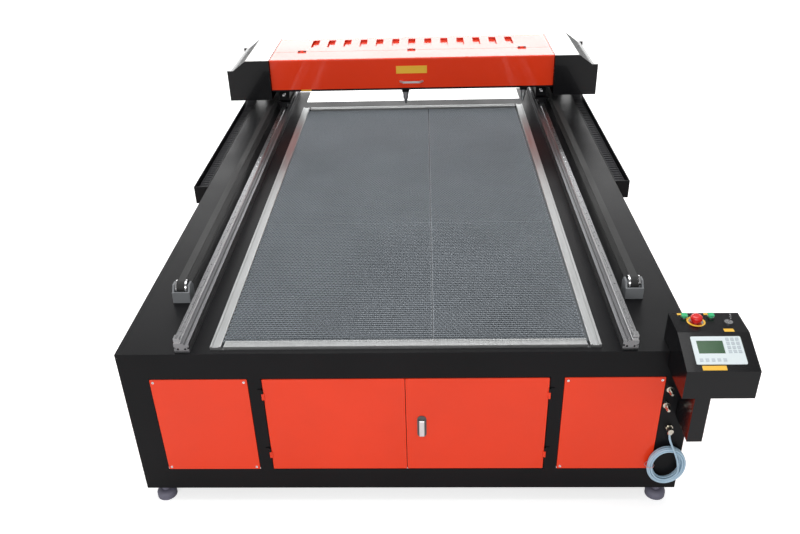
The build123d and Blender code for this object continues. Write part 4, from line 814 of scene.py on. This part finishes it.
def camera_turn():
    """The camera's rotation from the pitch, yaw and roll fitted to the photograph."""
    ahead = Vector((sin(CAMERA_YAW) * cos(CAMERA_PITCH), cos(CAMERA_YAW) * cos(CAMERA_PITCH),
                    -sin(CAMERA_PITCH)))
    right = Vector((cos(CAMERA_YAW), -sin(CAMERA_YAW), 0))
    up = right.cross(ahead)
    across = right * cos(CAMERA_ROLL) + up * sin(CAMERA_ROLL)
    rising = up * cos(CAMERA_ROLL) - right * sin(CAMERA_ROLL)
    return Matrix((across, rising, -ahead)).transposed().to_4x4()


def softbox(name, place, target, size, power):
    """A soft rectangular light that the camera doesn't see."""
    lamp = bpy.data.lights.new(name, "AREA")
    lamp.shape = "RECTANGLE"
    lamp.size, lamp.size_y = size
    lamp.energy = power
    stand = bpy.data.objects.new(name, lamp)
    bpy.context.scene.collection.objects.link(stand)
    stand.location = place
    stand.rotation_euler = (Vector(target) - Vector(place)).to_track_quat("-Z", "Y").to_euler()
    stand.visible_camera = False


class ENGRAVER_OT_stage(bpy.types.Operator):
    """Sets the pale floor, the soft light and the photograph's camera"""

    bl_idname = "engraver.stage"
    bl_label = "Stage"

    def execute(self, context):
        scene = context.scene
        scene.view_settings.view_transform = "Standard"
        world = bpy.data.worlds.new("studio")
        scene.world = world
        world.use_nodes = True
        nodes, links = world.node_tree.nodes, world.node_tree.links
        room = nodes["Background"]
        room.inputs["Color"].default_value = (1, 1, 1, 1)
        room.inputs["Strength"].default_value = ROOM_LIGHT
        backdrop = nodes.new("ShaderNodeBackground")
        backdrop.inputs["Strength"].default_value = BACKDROP_GLOW
        backdrop.inputs["Color"].default_value = (1, 1, 1, 1)
        seen = nodes.new("ShaderNodeLightPath")
        both = nodes.new("ShaderNodeMixShader")
        links.new(seen.outputs["Is Camera Ray"], both.inputs["Fac"])
        links.new(room.outputs["Background"], both.inputs[1])
        links.new(backdrop.outputs["Background"], both.inputs[2])
        links.new(both.outputs["Shader"], nodes["World Output"].inputs["Surface"])

        bm = bmesh.new()
        bmesh.ops.create_grid(bm, x_segments=1, y_segments=1, size=FLOOR_SIZE)
        mesh = bpy.data.meshes.new("studio_floor")
        bm.to_mesh(mesh)
        bm.free()
        floor = bpy.data.objects.new("studio_floor", mesh)
        scene.collection.objects.link(floor)
        pale = painted("pale_floor", (0.90, 0.90, 0.90), 0.7, grain=0.02, vary=0.01, shine=0.1)
        shader = pale.node_tree.nodes["Principled BSDF"]
        shader.inputs["Emission Color"].default_value = (1, 1, 1, 1)
        # The camera sees the floor as pale as the backdrop, and the machine gets no light from it
        seen = pale.node_tree.nodes.new("ShaderNodeLightPath")
        glow = pale.node_tree.nodes.new("ShaderNodeMath")
        glow.operation = "MULTIPLY"
        glow.inputs[1].default_value = FLOOR_GLOW
        pale.node_tree.links.new(seen.outputs["Is Camera Ray"], glow.inputs[0])
        pale.node_tree.links.new(glow.outputs["Value"], shader.inputs["Emission Strength"])
        mesh.materials.append(pale)

        softbox("front_light", (-1.5, -8.0, 3.2), (0, 0, 0.6), (7, 3), 230)
        softbox("top_light", (0, 0.5, 7.0), (0, 0, 0.7), (6, 6), 330)
        softbox("rear_light", (0, 9.0, 3.1), (0, 1.2, 1.0), (16, 2.6), 420)

        camera = bpy.data.cameras.new("photo_camera")
        camera.lens = LENS
        camera.sensor_width = SENSOR
        holder = bpy.data.objects.new("photo_camera", camera)
        scene.collection.objects.link(holder)
        holder.matrix_world = Matrix.Translation(CAMERA_PLACE) @ camera_turn()
        scene.camera = holder
        return {"FINISHED"}


STEPS = (
    ENGRAVER_OT_stage,
    ENGRAVER_OT_hose,
    ENGRAVER_OT_finishes,
    ENGRAVER_OT_honeycomb,
    ENGRAVER_OT_fasteners,
    ENGRAVER_OT_plates,
    ENGRAVER_OT_keypad,
    ENGRAVER_OT_chains,
)


class ENGRAVER_PT_panel(bpy.types.Panel):
    """Lists the pieces, the finishes and the sizes"""

    bl_label = "Engraver"
    bl_idname = "ENGRAVER_PT_panel"
    bl_space_type = "VIEW_3D"
    bl_region_type = "UI"
    bl_category = "Engraver"

    def draw(self, context):
        column = self.layout.column()
        for group in (context.scene.engraver_finish, context.scene.engraver_sizes):
            for name in group.bl_rna.properties.keys():
                if name not in ("rna_type", "name"):
                    column.prop(group, name)
        for step in STEPS:
            column.operator(step.bl_idname)


CLASSES = (EngraverFinish, EngraverSizes, *STEPS, ENGRAVER_PT_panel)


def register():
    for cls in CLASSES:
        bpy.utils.register_class(cls)
    bpy.types.Scene.engraver_finish = PointerProperty(type=EngraverFinish)
    bpy.types.Scene.engraver_sizes = PointerProperty(type=EngraverSizes)


def unregister():
    del bpy.types.Scene.engraver_sizes
    del bpy.types.Scene.engraver_finish
    for cls in reversed(CLASSES):
        bpy.utils.unregister_class(cls)


def main():
    register()
    bpy.ops.engraver.stage()
    bpy.ops.engraver.hose()
    bpy.ops.engraver.finishes()
    bpy.ops.engraver.honeycomb()
    bpy.ops.engraver.fasteners()
    bpy.ops.engraver.plates()
    bpy.ops.engraver.keypad()
    bpy.ops.engraver.chains()


if __name__ == "__main__":
    main()
